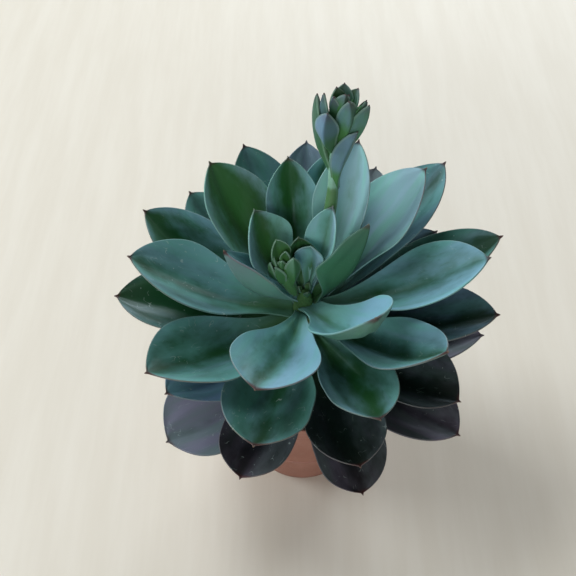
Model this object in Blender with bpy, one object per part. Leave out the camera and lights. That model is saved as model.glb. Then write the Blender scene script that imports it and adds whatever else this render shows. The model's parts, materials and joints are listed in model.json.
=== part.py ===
"""A potted echeveria: rosette of fleshy leaves, tall flower stalk, young side shoot, stem, soil and pot.

Metres, +Z up, origin in the middle of the pot's flat base. The rosette's stem stands on the axis.
"""

import math

import bpy
import numpy as np

MM = 0.001

# Pot
POT_HEIGHT = 71 * MM
POT_BASE_RADIUS = 29.5 * MM
POT_RIM_RADIUS = 42.4 * MM
POT_STEP_HEIGHT = 27 * MM
POT_STEP = 0.7 * MM
RIM_BAND = 9 * MM
RIM_STEP = 1.6 * MM
POT_WALL = 1.3 * MM
POT_FLOOR = 1.6 * MM
POT_EDGE = 0.6 * MM
POT_SIDES = 48
DRAIN_HOLES = 5
DRAIN_RADIUS = 3 * MM
DRAIN_CIRCLE = 17 * MM
DRAIN_SIDES = 12

# Soil and stem
GAP = 0.3 * MM
SOIL_TOP = 64 * MM
SOIL_EDGE = 61 * MM
SOIL_DIP = 1 * MM
SEAT_GAP = 0.5 * MM
CLOD = 1.2 * MM
SOIL_CIRCLES = (38.2 * MM, 31 * MM, 23 * MM, 15.5 * MM)
STEM_FOOT = 42 * MM
STEM_RADIUS = 9.5 * MM
SHOULDER_START = 80 * MM
TAPER_START = 108 * MM
TAPER_END = 130 * MM
SHOULDER_RADIUS = 8.5 * MM
STEM_TOP_RADIUS = 2.5 * MM
STEM_TOP = 131 * MM
STEM_SHOULDER = 130 * MM
STEM_CROWN = 130.7 * MM
STEM_CROWN_RADIUS = 1.5 * MM
TAPER_POWER = 1.3
STEM_STEPS = 13
STEM_SIDES = 24

# Blades
ROWS = (0.0, 0.1, 0.22, 0.35, 0.47, 0.58, 0.68, 0.77, 0.85, 0.92, 0.965, 1.0)
ACROSS = (-1.0, -0.52, 0.0, 0.52, 1.0)
BRACT_ROWS = (0.0, 0.22, 0.42, 0.6, 0.77, 0.91, 1.0)
BRACT_ACROSS = (-1.0, 0.0, 1.0)
NECK_SHARE = 0.23
WIDEST = 0.63
BLUNT = 2.0
POINT_RATE = 1.05
LEAF_THICK = 4.2 * MM
ROOT_THICK = 3.4 * MM
ROOT_THICK_SHARE = 0.55
TIP_THICK = 0.9 * MM
RIM_THICK = 0.9 * MM
SPINE_STEPS = 60

# A blade's form, in shares of its length or of half its width
WIDEN_POWER = 1.15
POINT_POWER = 0.75
POINT_SHARE = 0.16
FULL_THICK_AT = 0.3
THIN_POWER = 2.2
CURL_FROM = 0.7
CURL_POWER = 1.5
ROLLED_AT = 0.35
ROUND_POWER = 1.8
FOLD = 0.3
CUP_DRAWS_IN = 0.25
CUP_START = 0.12
CUP_RATE = 0.62
CUP_POWER = 0.8
BRACT_NECK_SHARE = 0.45
BRACT_WIDEST = 0.55
BRACT_THICK_SHARE = 0.22

# The leaves, roughly from the lowest up. Each has its root's height on the stem, heading, rise, reach from
# the stem's axis, width, bow, sweep, cup and what else it has. Lengths are in millimetres, and angles in
# degrees.
LEAVES = (
    (87, -70, -12.5, 84, 39, 0, -4, 0.25, {}),
    (89, 98, -12, 84, 38, 0, 0, 0.25, {}),
    (91, -38, 0.5, 94, 40, -10, 0, 0.25, {}),
    (90.6, 172, -11, 83, 38, -10, 0, 0.25, {}),
    (93, 134, -9, 86, 38, -10, 0, 0.25, {}),
    (91.3, -140, -4.7, 88.5, 48, -20, -6, 0.25, {"blunt": 2.8}),
    (95, 58, -8, 86, 38, -10, 0, 0.25, {}),
    (91.8, 16, -8, 84, 38, -10, 0, 0.25, {}),
    (96, -111, -4, 86, 40, -10, 0, 0.25, {}),
    (96, -8, 10, 91, 32, -14, 0, 0.25, {"roll": -4}),
    (98.8, -73, 2, 84.5, 39, -10, -3, 0.25, {"neck": 8}),
    (100, 155, 1, 88, 40, -8, 0, 0.25, {}),
    (101, -33, 3, 88, 41, -8, 0, 0.5, {"roll": -5}),
    (99.3, 80, 0, 86, 36, -8, 0, 0.25, {}),
    (103, 34, 14, 88, 36, -8, 0, 0.25, {}),
    (102.5, 110, 8, 88, 38, -8, 0, 0.25, {"neck": 7}),
    (103, -142, 9.5, 84, 40, -8, 0, 0.25, {}),
    (106, 179, 11.5, 96, 44, 0, 0, 0.25, {"neck": 7.5}),
    (108, -106, 9, 86, 47, -8, 2, 0.25, {}),
    (107.7, -12, 17, 97.5, 38, -4, 0, 0.25, {}),
    (111.2, -67, 14.3, 84, 37, -2, -6, 0.25, {"neck": 7}),
    (106.2, 134, 20.5, 93, 38, -8, 0, 0.23, {"neck": 6.2}),
    (109.5, 63, 22.3, 92, 38, -8, 8, 0.25, {}),
    (114.6, 89, 30.4, 90.5, 33, -8, 0, 0.25, {"neck": 6.5}),
    (114, -142, 16, 94, 44, -10, 0, 0.25, {}),
    (110, 113, 32.5, 95.5, 36, -19, 8, 0.25, {"neck": 6.5}),
    (114.7, 38, 29.7, 103, 36, -6, 0, 0.25, {"neck": 6.5}),
    (111.7, 158, 26.7, 96, 40, -15, 0, 0.23, {}),
    (111.4, 8, 25, 105, 38, -8, 0, 0.22, {"neck": 7.2}),
    (118, -42, 24, 89, 40.5, -18, 3, 0.4, {"curl": -10}),
    (118.7, 181, 25, 91.5, 44, -12, 0, 0.25, {}),
    (121, -107, 22, 82, 40, 8, -8, 0.25, {"neck": 7, "widest": 0.75}),
    (121.6, -5, 26, 94, 40, -14, 0, 0.25, {"neck": 6}),
    (121.4, 140, 44.7, 84, 39, -9, 0, 0.23, {"neck": 5.5}),
    (118.2, 31, 42.7, 91, 30, -6, 4, 0.25, {"widest": 0.5, "neck": 6}),
    (117.6, 79, 42, 78, 26, -8, 0, 0.25, {"neck": 5}),
    (120.6, 60.2, 53.6, 85.3, 31, -6, 8, 0.55, {"neck": 5}),
    (123.6, 101, 52, 71.2, 28, -8, 0, 0.25, {"neck": 5}),
    (124, -57, 38, 68, 40, -14, 0, 0.3, {"neck": 7, "widest": 0.72, "curl": -40}),
    (125.5, -178, 43, 52, 20, -16, 0, 0.5, {"neck": 4, "widest": 0.45, "blunt": 1.6, "roll": -20}),
    (127, 142, 53, 51.3, 33, -12, -6, 0.2, {"neck": 3.3, "thick": 2.8}),
    (124.8, 19.6, 53, 52, 24, -16, 0, 0.42, {"neck": 4, "roll": 58, "thick": 3}),
    (127.8, 53, 64.5, 49, 18.5, -8, 0, 0.3, {"neck": 3.4, "thick": 2.6}),
    (130.9, 42, 75, 27.5, 15, -5, 0, 0.4, {"neck": 3.4, "thick": 2.6}),
    (128.6, 108, 70, 31.5, 13, -5, 0, 0.3, {"neck": 3.8, "thick": 2.6}),
)

# The flower stalk's middle line and radius, from the stem up, in millimetres
STALK = (
    ((2.5, 5.6, 123), 0.9),
    ((3.6, 7.7, 126.3), 1.2),
    ((4.8, 10.4, 131), 1.5),
    ((6.7, 13.8, 138), 1.8),
    ((9.3, 17.8, 150), 2.3),
    ((10.6, 18.9, 158), 2.7),
    ((11.8, 20.5, 167.6), 3.0),
    ((12.6, 23, 177.4), 2.6),
    ((12.4, 25.5, 186.2), 2.1),
    ((12.7, 28, 194), 2.0),
    ((14.1, 31.5, 204.6), 1.9),
    ((15.2, 34, 212.6), 1.3),
)
# Its bracts: root, tip, width, outward heading, bow and cup
STALK_BRACTS = (
    ((13.6, 23.2, 179.5), (22.7, 26.5, 207.8), 11.5, -62, -22, 0.35),
    ((11.6, 26, 187), (4.5, 36.5, 220.8), 10, -165, -30, 0.35),
    ((12, 28, 195), (7.4, 34.5, 222.6), 7.5, -155, -20, 0.35),
    ((12.8, 26.8, 194.5), (9, 26, 218.4), 11.5, -108, -22, 0.4),
    ((14.5, 30.2, 203.5), (18, 29.5, 222), 10.5, -75, -18, 0.4),
    ((15, 31, 203.5), (27.3, 31.5, 218.4), 10.5, -42, -16, 0.35),
    ((15.5, 33.5, 206), (26.5, 36.5, 217.2), 9, -5, -14, 0.35),
    ((15.5, 34.5, 206), (22.8, 41, 220.4), 10, 35, -16, 0.35),
    ((15, 34.5, 206), (16.8, 43.3, 221.6), 10.5, 85, -16, 0.35),
    ((14.4, 34, 205), (13.2, 41.2, 221), 10.5, 120, -16, 0.35),
    ((13.8, 32.5, 205), (11.8, 34.8, 220.4), 9, -150, -14, 0.35),
    ((15.2, 33, 208), (17, 35, 221.6), 8.5, -80, -18, 0.4),
    ((15.5, 33.6, 207), (21, 36, 215.6), 7, -20, -16, 0.4),
    ((15.8, 34.8, 207.2), (18.6, 38.4, 219), 6.6, 40, -16, 0.4),
)
# The young shoot, in the same way
SHOOT = (
    ((-4.5, 0, 128.3), 1.3),
    ((-5.6, 0.1, 130.6), 2.2),
    ((-7.2, 0.5, 134.5), 3.0),
    ((-9.2, 0.6, 140), 3.3),
    ((-10.4, 0.8, 146), 2.2),
)
SHOOT_BRACTS = (
    ((-10, 2.2, 145), (-13.9, 6.4, 160.4), 10, 122, -12, 0.45),
    ((-10, 1.3, 146), (-10.1, 2.5, 156.6), 4.5, 80, -10, 0.4),
    ((-10.5, 0.6, 142.5), (-17.3, -0.5, 152.4), 5.2, 185, -20, 0.4),
    ((-10.6, 1.2, 144), (-14.8, 1.5, 153.9), 5.2, 165, -20, 0.4),
    ((-10.4, -0.2, 143.5), (-11.4, -1.2, 155.2), 5.6, -110, -20, 0.4),
    ((-10.6, -0.3, 144.5), (-13.2, 0.4, 150), 3.2, -160, -16, 0.4),
    ((-10.2, -0.8, 140), (-14.3, -2, 148.2), 4.2, -140, -18, 0.4),
    ((-8, -0.8, 138), (-5.8, -2.6, 157.2), 7.6, -60, -14, 0.4),
)
TUBE_SIDES = 12

# Colour, roughness and metallic of each kind of piece
LOOKS = {
    "pot": ((0.42, 0.21, 0.17), 0.6, 0.0),
    "soil": ((0.045, 0.032, 0.024), 0.95, 0.0),
    "stem": ((0.16, 0.14, 0.09), 0.8, 0.0),
    "flower_stalk": ((0.2, 0.33, 0.27), 0.55, 0.0),
    "young_shoot": ((0.23, 0.36, 0.2), 0.55, 0.0),
    "leaf_low": ((0.09, 0.12, 0.14), 0.5, 0.0),
    "leaf_high": ((0.15, 0.3, 0.27), 0.5, 0.0),
}
LOW_LEAVES = 17


def stem_radius(z):
    """The stem's radius at a height. It tapers where the young leaves stand."""
    if z < TAPER_START:
        share = max(0.0, (z - SHOULDER_START) / (TAPER_START - SHOULDER_START))
        return STEM_RADIUS + (SHOULDER_RADIUS - STEM_RADIUS) * share
    share = min(1.0, (z - TAPER_START) / (TAPER_END - TAPER_START))
    return SHOULDER_RADIUS + (STEM_TOP_RADIUS - SHOULDER_RADIUS) * share**TAPER_POWER


def raw_curve(bow, sweep, curl):
    """A midrib of length one along +X: shares of its length, directions and points."""
    shares = np.linspace(0, 1, SPINE_STEPS + 1)
    curled = np.clip((shares - CURL_FROM) / (1 - CURL_FROM), 0, 1) ** CURL_POWER
    rise = bow * (1 - 2 * shares) - curl * curled
    turn = sweep * (2 * shares - 1)
    ways = np.stack([np.cos(rise) * np.cos(turn), np.cos(rise) * np.sin(turn), np.sin(rise)], 1)
    steps = np.cumsum((ways[1:] + ways[:-1]) / 2, 0) / SPINE_STEPS
    return shares, ways, np.concatenate([np.zeros((1, 3)), steps])


def heading_and_rise(way):
    """The heading and the rise of a direction, in radians."""
    return math.atan2(way[1], way[0]), math.atan2(way[2], math.hypot(way[0], way[1]))


def turned(vectors, heading, rise, new_heading, new_rise):
    """Vectors turned so that one direction comes to lie along another."""
    c, s = math.cos(-heading), math.sin(-heading)
    x = vectors[:, 0] * c - vectors[:, 1] * s
    y = vectors[:, 0] * s + vectors[:, 1] * c
    z = vectors[:, 2]
    c, s = math.cos(new_rise - rise), math.sin(new_rise - rise)
    x, z = x * c - z * s, x * s + z * c
    c, s = math.cos(new_heading), math.sin(new_heading)
    return np.stack([x * c - y * s, x * s + y * c, z], 1)


def leaf_blade(row):
    """A leaf's blade: where its root stands off the stem, where its tip is, and its form."""
    height, heading, rise, reach, width, bow, sweep, cup, more = row
    heading, rise, bow, sweep = (math.radians(a) for a in (heading, rise, bow, sweep))
    curl = math.radians(more.get("curl", 0))
    neck = more.get("neck", NECK_SHARE * width) * MM
    root_thick = min(ROOT_THICK, ROOT_THICK_SHARE * neck)
    points = raw_curve(bow, sweep, curl)[2]
    first_rise = rise + bow - heading_and_rise(points[-1])[1]
    lean = math.sin(first_rise)
    off = stem_radius(height * MM) + SEAT_GAP + root_thick * max(lean / 2, -lean)
    root = np.array([off * math.cos(heading), off * math.sin(heading), height * MM])
    level = reach * MM * math.cos(rise)
    top = (height + reach * math.sin(rise)) * MM
    tip = np.array([level * math.cos(heading), level * math.sin(heading), top])
    return {
        "root": root,
        "tip": tip,
        "face": heading_and_rise(tip - root)[0],
        "width": width * MM,
        "neck": neck,
        "widest": more.get("widest", WIDEST),
        "blunt": more.get("blunt", BLUNT),
        "bow": bow,
        "sweep": sweep,
        "curl": curl,
        "cup": cup,
        "roll": math.radians(more.get("roll", 0)),
        "thick": more.get("thick", LEAF_THICK / MM) * MM,
        "root_thick": root_thick,
    }


def bract_blade(row):
    """A bract's blade from its root, tip, width, outward heading, bow and cup."""
    root, tip, width, face, bow, cup = row
    return {
        "root": np.array(root) * MM,
        "tip": np.array(tip) * MM,
        "face": math.radians(face),
        "width": width * MM,
        "neck": BRACT_NECK_SHARE * width * MM,
        "widest": BRACT_WIDEST,
        "blunt": BLUNT,
        "bow": math.radians(bow),
        "sweep": 0.0,
        "curl": 0.0,
        "cup": cup,
        "roll": 0.0,
        "thick": BRACT_THICK_SHARE * width * MM,
        "root_thick": BRACT_THICK_SHARE * width * MM,
    }


def half_width(share, blade):
    """Half the blade's width at a share of its length: a narrow root, a wide middle and a small point."""
    half = blade["width"] / 2
    if share <= blade["widest"]:
        grow = (share / blade["widest"]) ** WIDEN_POWER
        grow = grow * grow * (3 - 2 * grow)
        neck = blade["neck"] / blade["width"]
        return half * (neck + (1 - neck) * grow)
    beyond = (share - blade["widest"]) / (1 - blade["widest"])
    body = half * max(0.0, 1 - (beyond * POINT_RATE) ** blade["blunt"]) ** POINT_POWER
    return max(body, TIP_THICK / 2 + POINT_SHARE * half * (1 - beyond))


def thickness(share, blade):
    """The blade's thickness on its midrib."""
    if share < FULL_THICK_AT:
        return blade["root_thick"] + (blade["thick"] - blade["root_thick"]) * share / FULL_THICK_AT
    beyond = (share - FULL_THICK_AT) / (1 - FULL_THICK_AT)
    return blade["thick"] + (TIP_THICK - blade["thick"]) * beyond**THIN_POWER


def blade_rings(blade, rows, across):
    """Closed rings of points from root to tip: over the upper face from right to left, then back below."""
    shares, ways, points = raw_curve(blade["bow"], blade["sweep"], blade["curl"])
    raw = heading_and_rise(points[-1])
    chord = blade["tip"] - blade["root"]
    aim = heading_and_rise(chord)
    if abs(aim[0] - blade["face"]) > math.pi / 2 and abs(aim[0] - blade["face"]) < 3 * math.pi / 2:
        aim = (aim[0] + math.pi, math.pi - aim[1])
    line = blade["root"] + turned(points, *raw, *aim) * (np.linalg.norm(chord) / np.linalg.norm(points[-1]))
    ways = turned(ways, *raw, *aim)
    level = np.array([math.sin(blade["face"]), -math.cos(blade["face"]), 0])
    rings = []
    for share in rows:
        middle = np.array([np.interp(share, shares, line[:, k]) for k in range(3)])
        way = np.array([np.interp(share, shares, ways[:, k]) for k in range(3)])
        way /= np.linalg.norm(way)
        side = level - way * (level @ way)
        side /= np.linalg.norm(side)
        up = np.cross(side, way)
        roll = blade["roll"] * min(1.0, share / ROLLED_AT)
        side, up = side * math.cos(roll) + up * math.sin(roll), up * math.cos(roll) - side * math.sin(roll)
        half = half_width(share, blade)
        thick = thickness(share, blade)
        rim = min(RIM_THICK, thick)
        cup = blade["cup"] * math.sin(math.pi * (CUP_START + CUP_RATE * share)) ** CUP_POWER
        top = []
        bottom = []
        for u in across:
            lift = cup * half * (math.hypot(u, FOLD) - FOLD) / (math.hypot(1, FOLD) - FOLD)
            body = rim + (thick - rim) * (1 - abs(u) ** ROUND_POWER)
            base = middle + side * half * u * (1 - CUP_DRAWS_IN * cup * cup) + up * lift
            top.append(base + up * rim / 2)
            bottom.append(base + up * (rim / 2 - body))
        rings.append(top + bottom[::-1])
    return np.array(rings)


def ring_faces(rows, count):
    """Triangles between the rings, split alike on both sides of the midrib and both faces, and the ends."""
    tops = count // 2
    faces = []
    for i in range(rows - 1):
        for j in range(count):
            a = i * count + j
            b = i * count + (j + 1) % count
            column = j if j < tops else count - 2 - j
            if column < (tops - 1) / 2:
                faces += [(a, b, b + count), (a, b + count, a + count)]
            else:
                faces += [(a, b, a + count), (b, b + count, a + count)]
    for base, flip in ((0, True), ((rows - 1) * count, False)):
        for j in range(tops - 1):
            a, b = base + j, base + j + 1
            d, c = base + count - 1 - j, base + count - 2 - j
            ends = [(a, b, c), (a, c, d)] if j < (tops - 1) / 2 else [(a, b, d), (b, c, d)]
            faces += [end[::-1] if flip else end for end in ends]
    return faces


def blade_mesh(blade, rows, across):
    """The points and triangles of one blade."""
    rings = blade_rings(blade, rows, across)
    return rings.reshape(-1, 3), ring_faces(rings.shape[0], rings.shape[1])


def tube_mesh(line, radii, sides):
    """The points and faces of a round stalk along a line, with closed ends."""
    line = np.array(line, float)
    ways = np.gradient(line, axis=0)
    ways /= np.linalg.norm(ways, axis=1)[:, None]
    side = np.cross(ways[0], (0.0, 1.0, 0.0))
    points = []
    for middle, way, radius in zip(line, ways, radii):
        side = side - way * (side @ way)
        side /= np.linalg.norm(side)
        other = np.cross(way, side)
        for k in range(sides):
            angle = 2 * math.pi * k / sides
            points.append(middle + radius * (side * math.cos(angle) + other * math.sin(angle)))
    faces = []
    for i in range(len(line) - 1):
        for k in range(sides):
            a, b = i * sides + k, i * sides + (k + 1) % sides
            faces.append((a, b, b + sides, a + sides))
    faces.append(tuple(range(sides))[::-1])
    faces.append(tuple(range((len(line) - 1) * sides, len(line) * sides)))
    return np.array(points), faces


def lathe_mesh(profile, sides, stir=None):
    """The points and faces of a profile turned round +Z. Its first and last points lie on the axis."""
    points = [(0.0, 0.0, profile[0][1])]
    for radius, z in profile[1:-1]:
        for k in range(sides):
            angle = 2 * math.pi * k / sides
            lift = stir(radius, angle, z) if stir else 0.0
            points.append((radius * math.cos(angle), radius * math.sin(angle), z + lift))
    points.append((0.0, 0.0, profile[-1][1]))
    last = len(points) - 1
    circles = len(profile) - 2
    faces = []
    for k in range(sides):
        n = (k + 1) % sides
        faces.append((0, 1 + n, 1 + k))
        for i in range(circles - 1):
            a, b = 1 + i * sides + k, 1 + i * sides + n
            faces.append((a, b, b + sides, a + sides))
        a = 1 + (circles - 1) * sides
        faces.append((a + k, a + n, last))
    return np.array(points), faces


def add_object(name, points, faces):
    """A mesh object of these points and faces."""
    mesh = bpy.data.meshes.new(name)
    mesh.from_pydata([tuple(p) for p in points], [], faces)
    mesh.update()
    obj = bpy.data.objects.new(name, mesh)
    bpy.context.scene.collection.objects.link(obj)
    return obj


def give_look(obj, look):
    """The object's own material, of one of the looks."""
    colour, roughness, metallic = LOOKS[look]
    material = bpy.data.materials.new(obj.name)
    material.use_nodes = True
    shader = material.node_tree.nodes["Principled BSDF"]
    shader.inputs["Base Color"].default_value = (*colour, 1)
    shader.inputs["Roughness"].default_value = roughness
    shader.inputs["Metallic"].default_value = metallic
    material.diffuse_color = (*colour, 1)
    obj.data.materials.clear()
    obj.data.materials.append(material)
    for polygon in obj.data.polygons:
        polygon.material_index = 0
        polygon.use_smooth = True


def apply_boolean(obj, operation, others):
    """Joins the other objects to this one, or cuts them from it, and removes them."""
    group = bpy.data.collections.new(obj.name + "_others")
    bpy.context.scene.collection.children.link(group)
    for other in others:
        bpy.context.scene.collection.objects.unlink(other)
        group.objects.link(other)
        other.hide_render = True
        other.display_type = "WIRE"
    boolean = obj.modifiers.new(operation.lower(), "BOOLEAN")
    boolean.operation = operation
    boolean.operand_type = "COLLECTION"
    boolean.collection = group
    boolean.solver = "EXACT"
    bpy.context.view_layer.update()
    graph = bpy.context.evaluated_depsgraph_get()
    mesh = bpy.data.meshes.new_from_object(obj.evaluated_get(graph))
    obj.modifiers.clear()
    obj.data = mesh
    for other in others:
        bpy.data.objects.remove(other)
    bpy.data.collections.remove(group)


def pot_profile():
    """The pot's section from the middle of its base, up its outside, over the rim and down to its floor."""
    slope = (POT_RIM_RADIUS - RIM_STEP - POT_BASE_RADIUS) / (POT_HEIGHT - RIM_BAND)
    outer = [
        (0, 0),
        (POT_BASE_RADIUS - POT_EDGE, 0),
        (POT_BASE_RADIUS, POT_EDGE),
        (POT_BASE_RADIUS + slope * POT_STEP_HEIGHT + POT_STEP, POT_STEP_HEIGHT - POT_STEP),
        (POT_BASE_RADIUS + slope * POT_STEP_HEIGHT, POT_STEP_HEIGHT),
        (POT_RIM_RADIUS - RIM_STEP, POT_HEIGHT - RIM_BAND),
        (POT_RIM_RADIUS - POT_EDGE, POT_HEIGHT - RIM_BAND),
        (POT_RIM_RADIUS, POT_HEIGHT - RIM_BAND + POT_EDGE),
        (POT_RIM_RADIUS, POT_HEIGHT - POT_EDGE),
        (POT_RIM_RADIUS - POT_EDGE, POT_HEIGHT),
        (POT_RIM_RADIUS - POT_WALL - POT_EDGE, POT_HEIGHT),
    ]
    return outer + [
        (wall_radius(POT_HEIGHT - RIM_BAND), POT_HEIGHT - RIM_BAND),
        (wall_radius(POT_FLOOR), POT_FLOOR),
        (0, POT_FLOOR),
    ]


def wall_radius(z):
    """The radius of the pot's inner wall at a height below its rim band."""
    slope = (POT_RIM_RADIUS - RIM_STEP - POT_BASE_RADIUS) / (POT_HEIGHT - RIM_BAND)
    return POT_BASE_RADIUS + slope * z - POT_WALL


def clods(radius, angle, z):
    """How far the soil's surface stands above or below its own level."""
    if z < SOIL_TOP:
        return 0.0
    ways = math.sin(3 * angle + radius / MM) + 0.7 * math.sin(7 * angle - 0.6 * radius / MM)
    return CLOD * 0.6 * ways + CLOD * 0.5 * math.sin(11 * angle)


def soil_profile():
    """The soil's section: from its underside's middle, up the wall, in to the stem and down its hole."""
    hole = STEM_RADIUS + SEAT_GAP
    low = POT_FLOOR + GAP
    return (
        [(0, low), (wall_radius(low) - SEAT_GAP, low), (wall_radius(SOIL_EDGE) - SEAT_GAP, SOIL_EDGE)]
        + [(radius, SOIL_TOP) for radius in SOIL_CIRCLES]
        + [(hole, SOIL_TOP - SOIL_DIP), (hole, STEM_FOOT - GAP), (0, STEM_FOOT - GAP)]
    )


def stem_profile():
    """The stem's section from its foot to its top."""
    heights = [STEM_FOOT, *np.linspace(SHOULDER_START, STEM_SHOULDER, STEM_STEPS)]
    sides = [(stem_radius(z), z) for z in heights]
    return [(0, STEM_FOOT), *sides, (STEM_CROWN_RADIUS, STEM_CROWN), (0, STEM_TOP)]


def build_pot():
    """The nursery pot: a tapered shell with a stepped foot, a rim band and drain holes."""
    pot = add_object("pot", *lathe_mesh(pot_profile(), POT_SIDES))
    drills = []
    for k in range(DRAIN_HOLES):
        angle = 2 * math.pi * k / DRAIN_HOLES
        foot = np.array([DRAIN_CIRCLE * math.cos(angle), DRAIN_CIRCLE * math.sin(angle), -POT_FLOOR])
        line = (foot, foot + np.array([0, 0, 3 * POT_FLOOR]))
        drills.append(add_object(f"drill_{k}", *tube_mesh(line, (DRAIN_RADIUS,) * 2, DRAIN_SIDES)))
    apply_boolean(pot, "DIFFERENCE", drills)
    give_look(pot, "pot")


def build_sprig(name, path, bracts):
    """A stalk and its bracts, as one solid."""
    line = [np.array(point) * MM for point, _ in path]
    radii = [radius * MM for _, radius in path]
    stalk = add_object(name, *tube_mesh(line, radii, TUBE_SIDES))
    blades = [bract_blade(row) for row in bracts]
    meshes = [blade_mesh(blade, BRACT_ROWS, BRACT_ACROSS) for blade in blades]
    others = [add_object(f"{name}_{k}", *mesh) for k, mesh in enumerate(meshes)]
    apply_boolean(stalk, "UNION", others)
    give_look(stalk, name)


def main():
    for obj in list(bpy.data.objects):
        bpy.data.objects.remove(obj)
    build_pot()
    give_look(add_object("soil", *lathe_mesh(soil_profile(), POT_SIDES, clods)), "soil")
    give_look(add_object("stem", *lathe_mesh(stem_profile(), STEM_SIDES)), "stem")
    for k, row in enumerate(LEAVES):
        leaf = add_object(f"leaf_{k + 1:02d}", *blade_mesh(leaf_blade(row), ROWS, ACROSS))
        give_look(leaf, "leaf_low" if k < LOW_LEAVES else "leaf_high")
    build_sprig("flower_stalk", STALK, STALK_BRACTS)
    build_sprig("young_shoot", SHOOT, SHOOT_BRACTS)


if __name__ == "__main__":
    main()
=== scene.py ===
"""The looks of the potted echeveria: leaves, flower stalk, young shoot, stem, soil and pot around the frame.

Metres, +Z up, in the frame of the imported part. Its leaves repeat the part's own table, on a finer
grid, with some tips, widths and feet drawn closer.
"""

import json
from math import atan2, cos, exp, hypot, pi, radians, sin, sqrt
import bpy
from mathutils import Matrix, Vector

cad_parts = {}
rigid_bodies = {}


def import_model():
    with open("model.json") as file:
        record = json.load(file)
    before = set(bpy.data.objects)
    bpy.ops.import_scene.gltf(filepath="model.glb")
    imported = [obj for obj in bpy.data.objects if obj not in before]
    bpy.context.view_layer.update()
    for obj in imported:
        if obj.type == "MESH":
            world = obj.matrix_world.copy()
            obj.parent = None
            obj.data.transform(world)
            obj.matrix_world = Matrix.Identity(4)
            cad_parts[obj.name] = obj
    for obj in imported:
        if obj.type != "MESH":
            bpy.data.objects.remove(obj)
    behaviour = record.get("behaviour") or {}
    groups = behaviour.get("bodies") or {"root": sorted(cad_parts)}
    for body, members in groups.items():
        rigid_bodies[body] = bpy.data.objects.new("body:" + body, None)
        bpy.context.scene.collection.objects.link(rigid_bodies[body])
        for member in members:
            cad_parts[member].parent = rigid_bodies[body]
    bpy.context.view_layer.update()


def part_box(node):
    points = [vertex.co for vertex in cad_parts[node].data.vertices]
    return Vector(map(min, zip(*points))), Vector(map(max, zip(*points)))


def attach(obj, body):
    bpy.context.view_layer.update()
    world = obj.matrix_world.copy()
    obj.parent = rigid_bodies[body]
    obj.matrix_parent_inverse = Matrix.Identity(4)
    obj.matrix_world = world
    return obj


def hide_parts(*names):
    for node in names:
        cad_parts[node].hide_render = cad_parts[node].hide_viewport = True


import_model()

from types import SimpleNamespace

import bpy
import numpy as np

BODY = "root"
MM = 0.001

# Pot, as in the part
POT_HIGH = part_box("pot")[1]
POT_HEIGHT = POT_HIGH.z
POT_RIM_RADIUS = POT_HIGH.x
POT_BASE_RADIUS = 29.5 * MM
POT_STEP_HEIGHT = 27 * MM
POT_STEP = 0.7 * MM
RIM_BAND = 9 * MM
RIM_STEP = 1.6 * MM
WALL_SLOPE = (POT_RIM_RADIUS - RIM_STEP - POT_BASE_RADIUS) / (POT_HEIGHT - RIM_BAND)
POT_WALL = 1.3 * MM
POT_FLOOR = 1.6 * MM
POT_EDGE = 0.6 * MM
POT_EDGE_POINTS = 5
POT_EDGE_ROOM = 2.1
POT_SIDES = 160
POT_SHARP_ANGLE = 50
DRAIN_HOLES = 5
DRAIN_SIDES = 32
DRAIN_RADIUS = 3 * MM
DRAIN_CIRCLE = 17 * MM

# Soil, and its swell (rates along X and Y over a millimetre, and a shift) and ripples (size and both rates)
SOIL_TOP = 64 * MM
SOIL_CLEAR = 0.3 * MM
SOIL_WALL = 3 * MM
SOIL_RINGS = 40
SOIL_SIDES = 144
SOIL_RELIEF = 0.5 * MM
SOIL_SWELL = (0.31, 0.27, 1.3)
SOIL_RIPPLES = ((0.6, 0.9, 0.7), (0.45, 1.9, -1.1), (0.35, 0.8, 2.3))
# Crumbs on the soil, and their width and height in shares of their length
CRUMBS = 260
CRUMB_SEED = 5
CRUMB_RINGS = 5
CRUMB_SIDES = 8
CRUMB_ROUGHNESS = (0.75, 1.1)
CRUMB_SIZES = (0.5 * MM, 1.9 * MM)
CRUMB_WIDTHS = (0.4, 0.9)
CRUMB_HEIGHTS = (0.3, 0.7)
CRUMB_RAISED = 0.2
CRUMB_MARGIN = 2.5 * MM

# Stem, as in the part, and the crescent scars on its skin
STEM_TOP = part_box("stem")[1].z
STEM_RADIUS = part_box("stem")[1].x
SHOULDER_START = 80 * MM
TAPER_START = 108 * MM
TAPER_END = 130 * MM
SHOULDER_RADIUS = 8.5 * MM
STEM_TOP_RADIUS = 2.5 * MM
TAPER_POWER = 1.3
SEAT_GAP = 0.5 * MM
STEM_DEPTH = 20 * MM
STEM_RINGS = 150
STEM_SIDES = 96
STEM_SKIN = 0.3 * MM
SCAR_RELIEF = 0.35 * MM
SCAR_RISE = 3.4 * MM
SCAR_TURNS = 8
SCAR_COLUMNS = 5
SCAR_SLANT = 2.1 * MM

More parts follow.
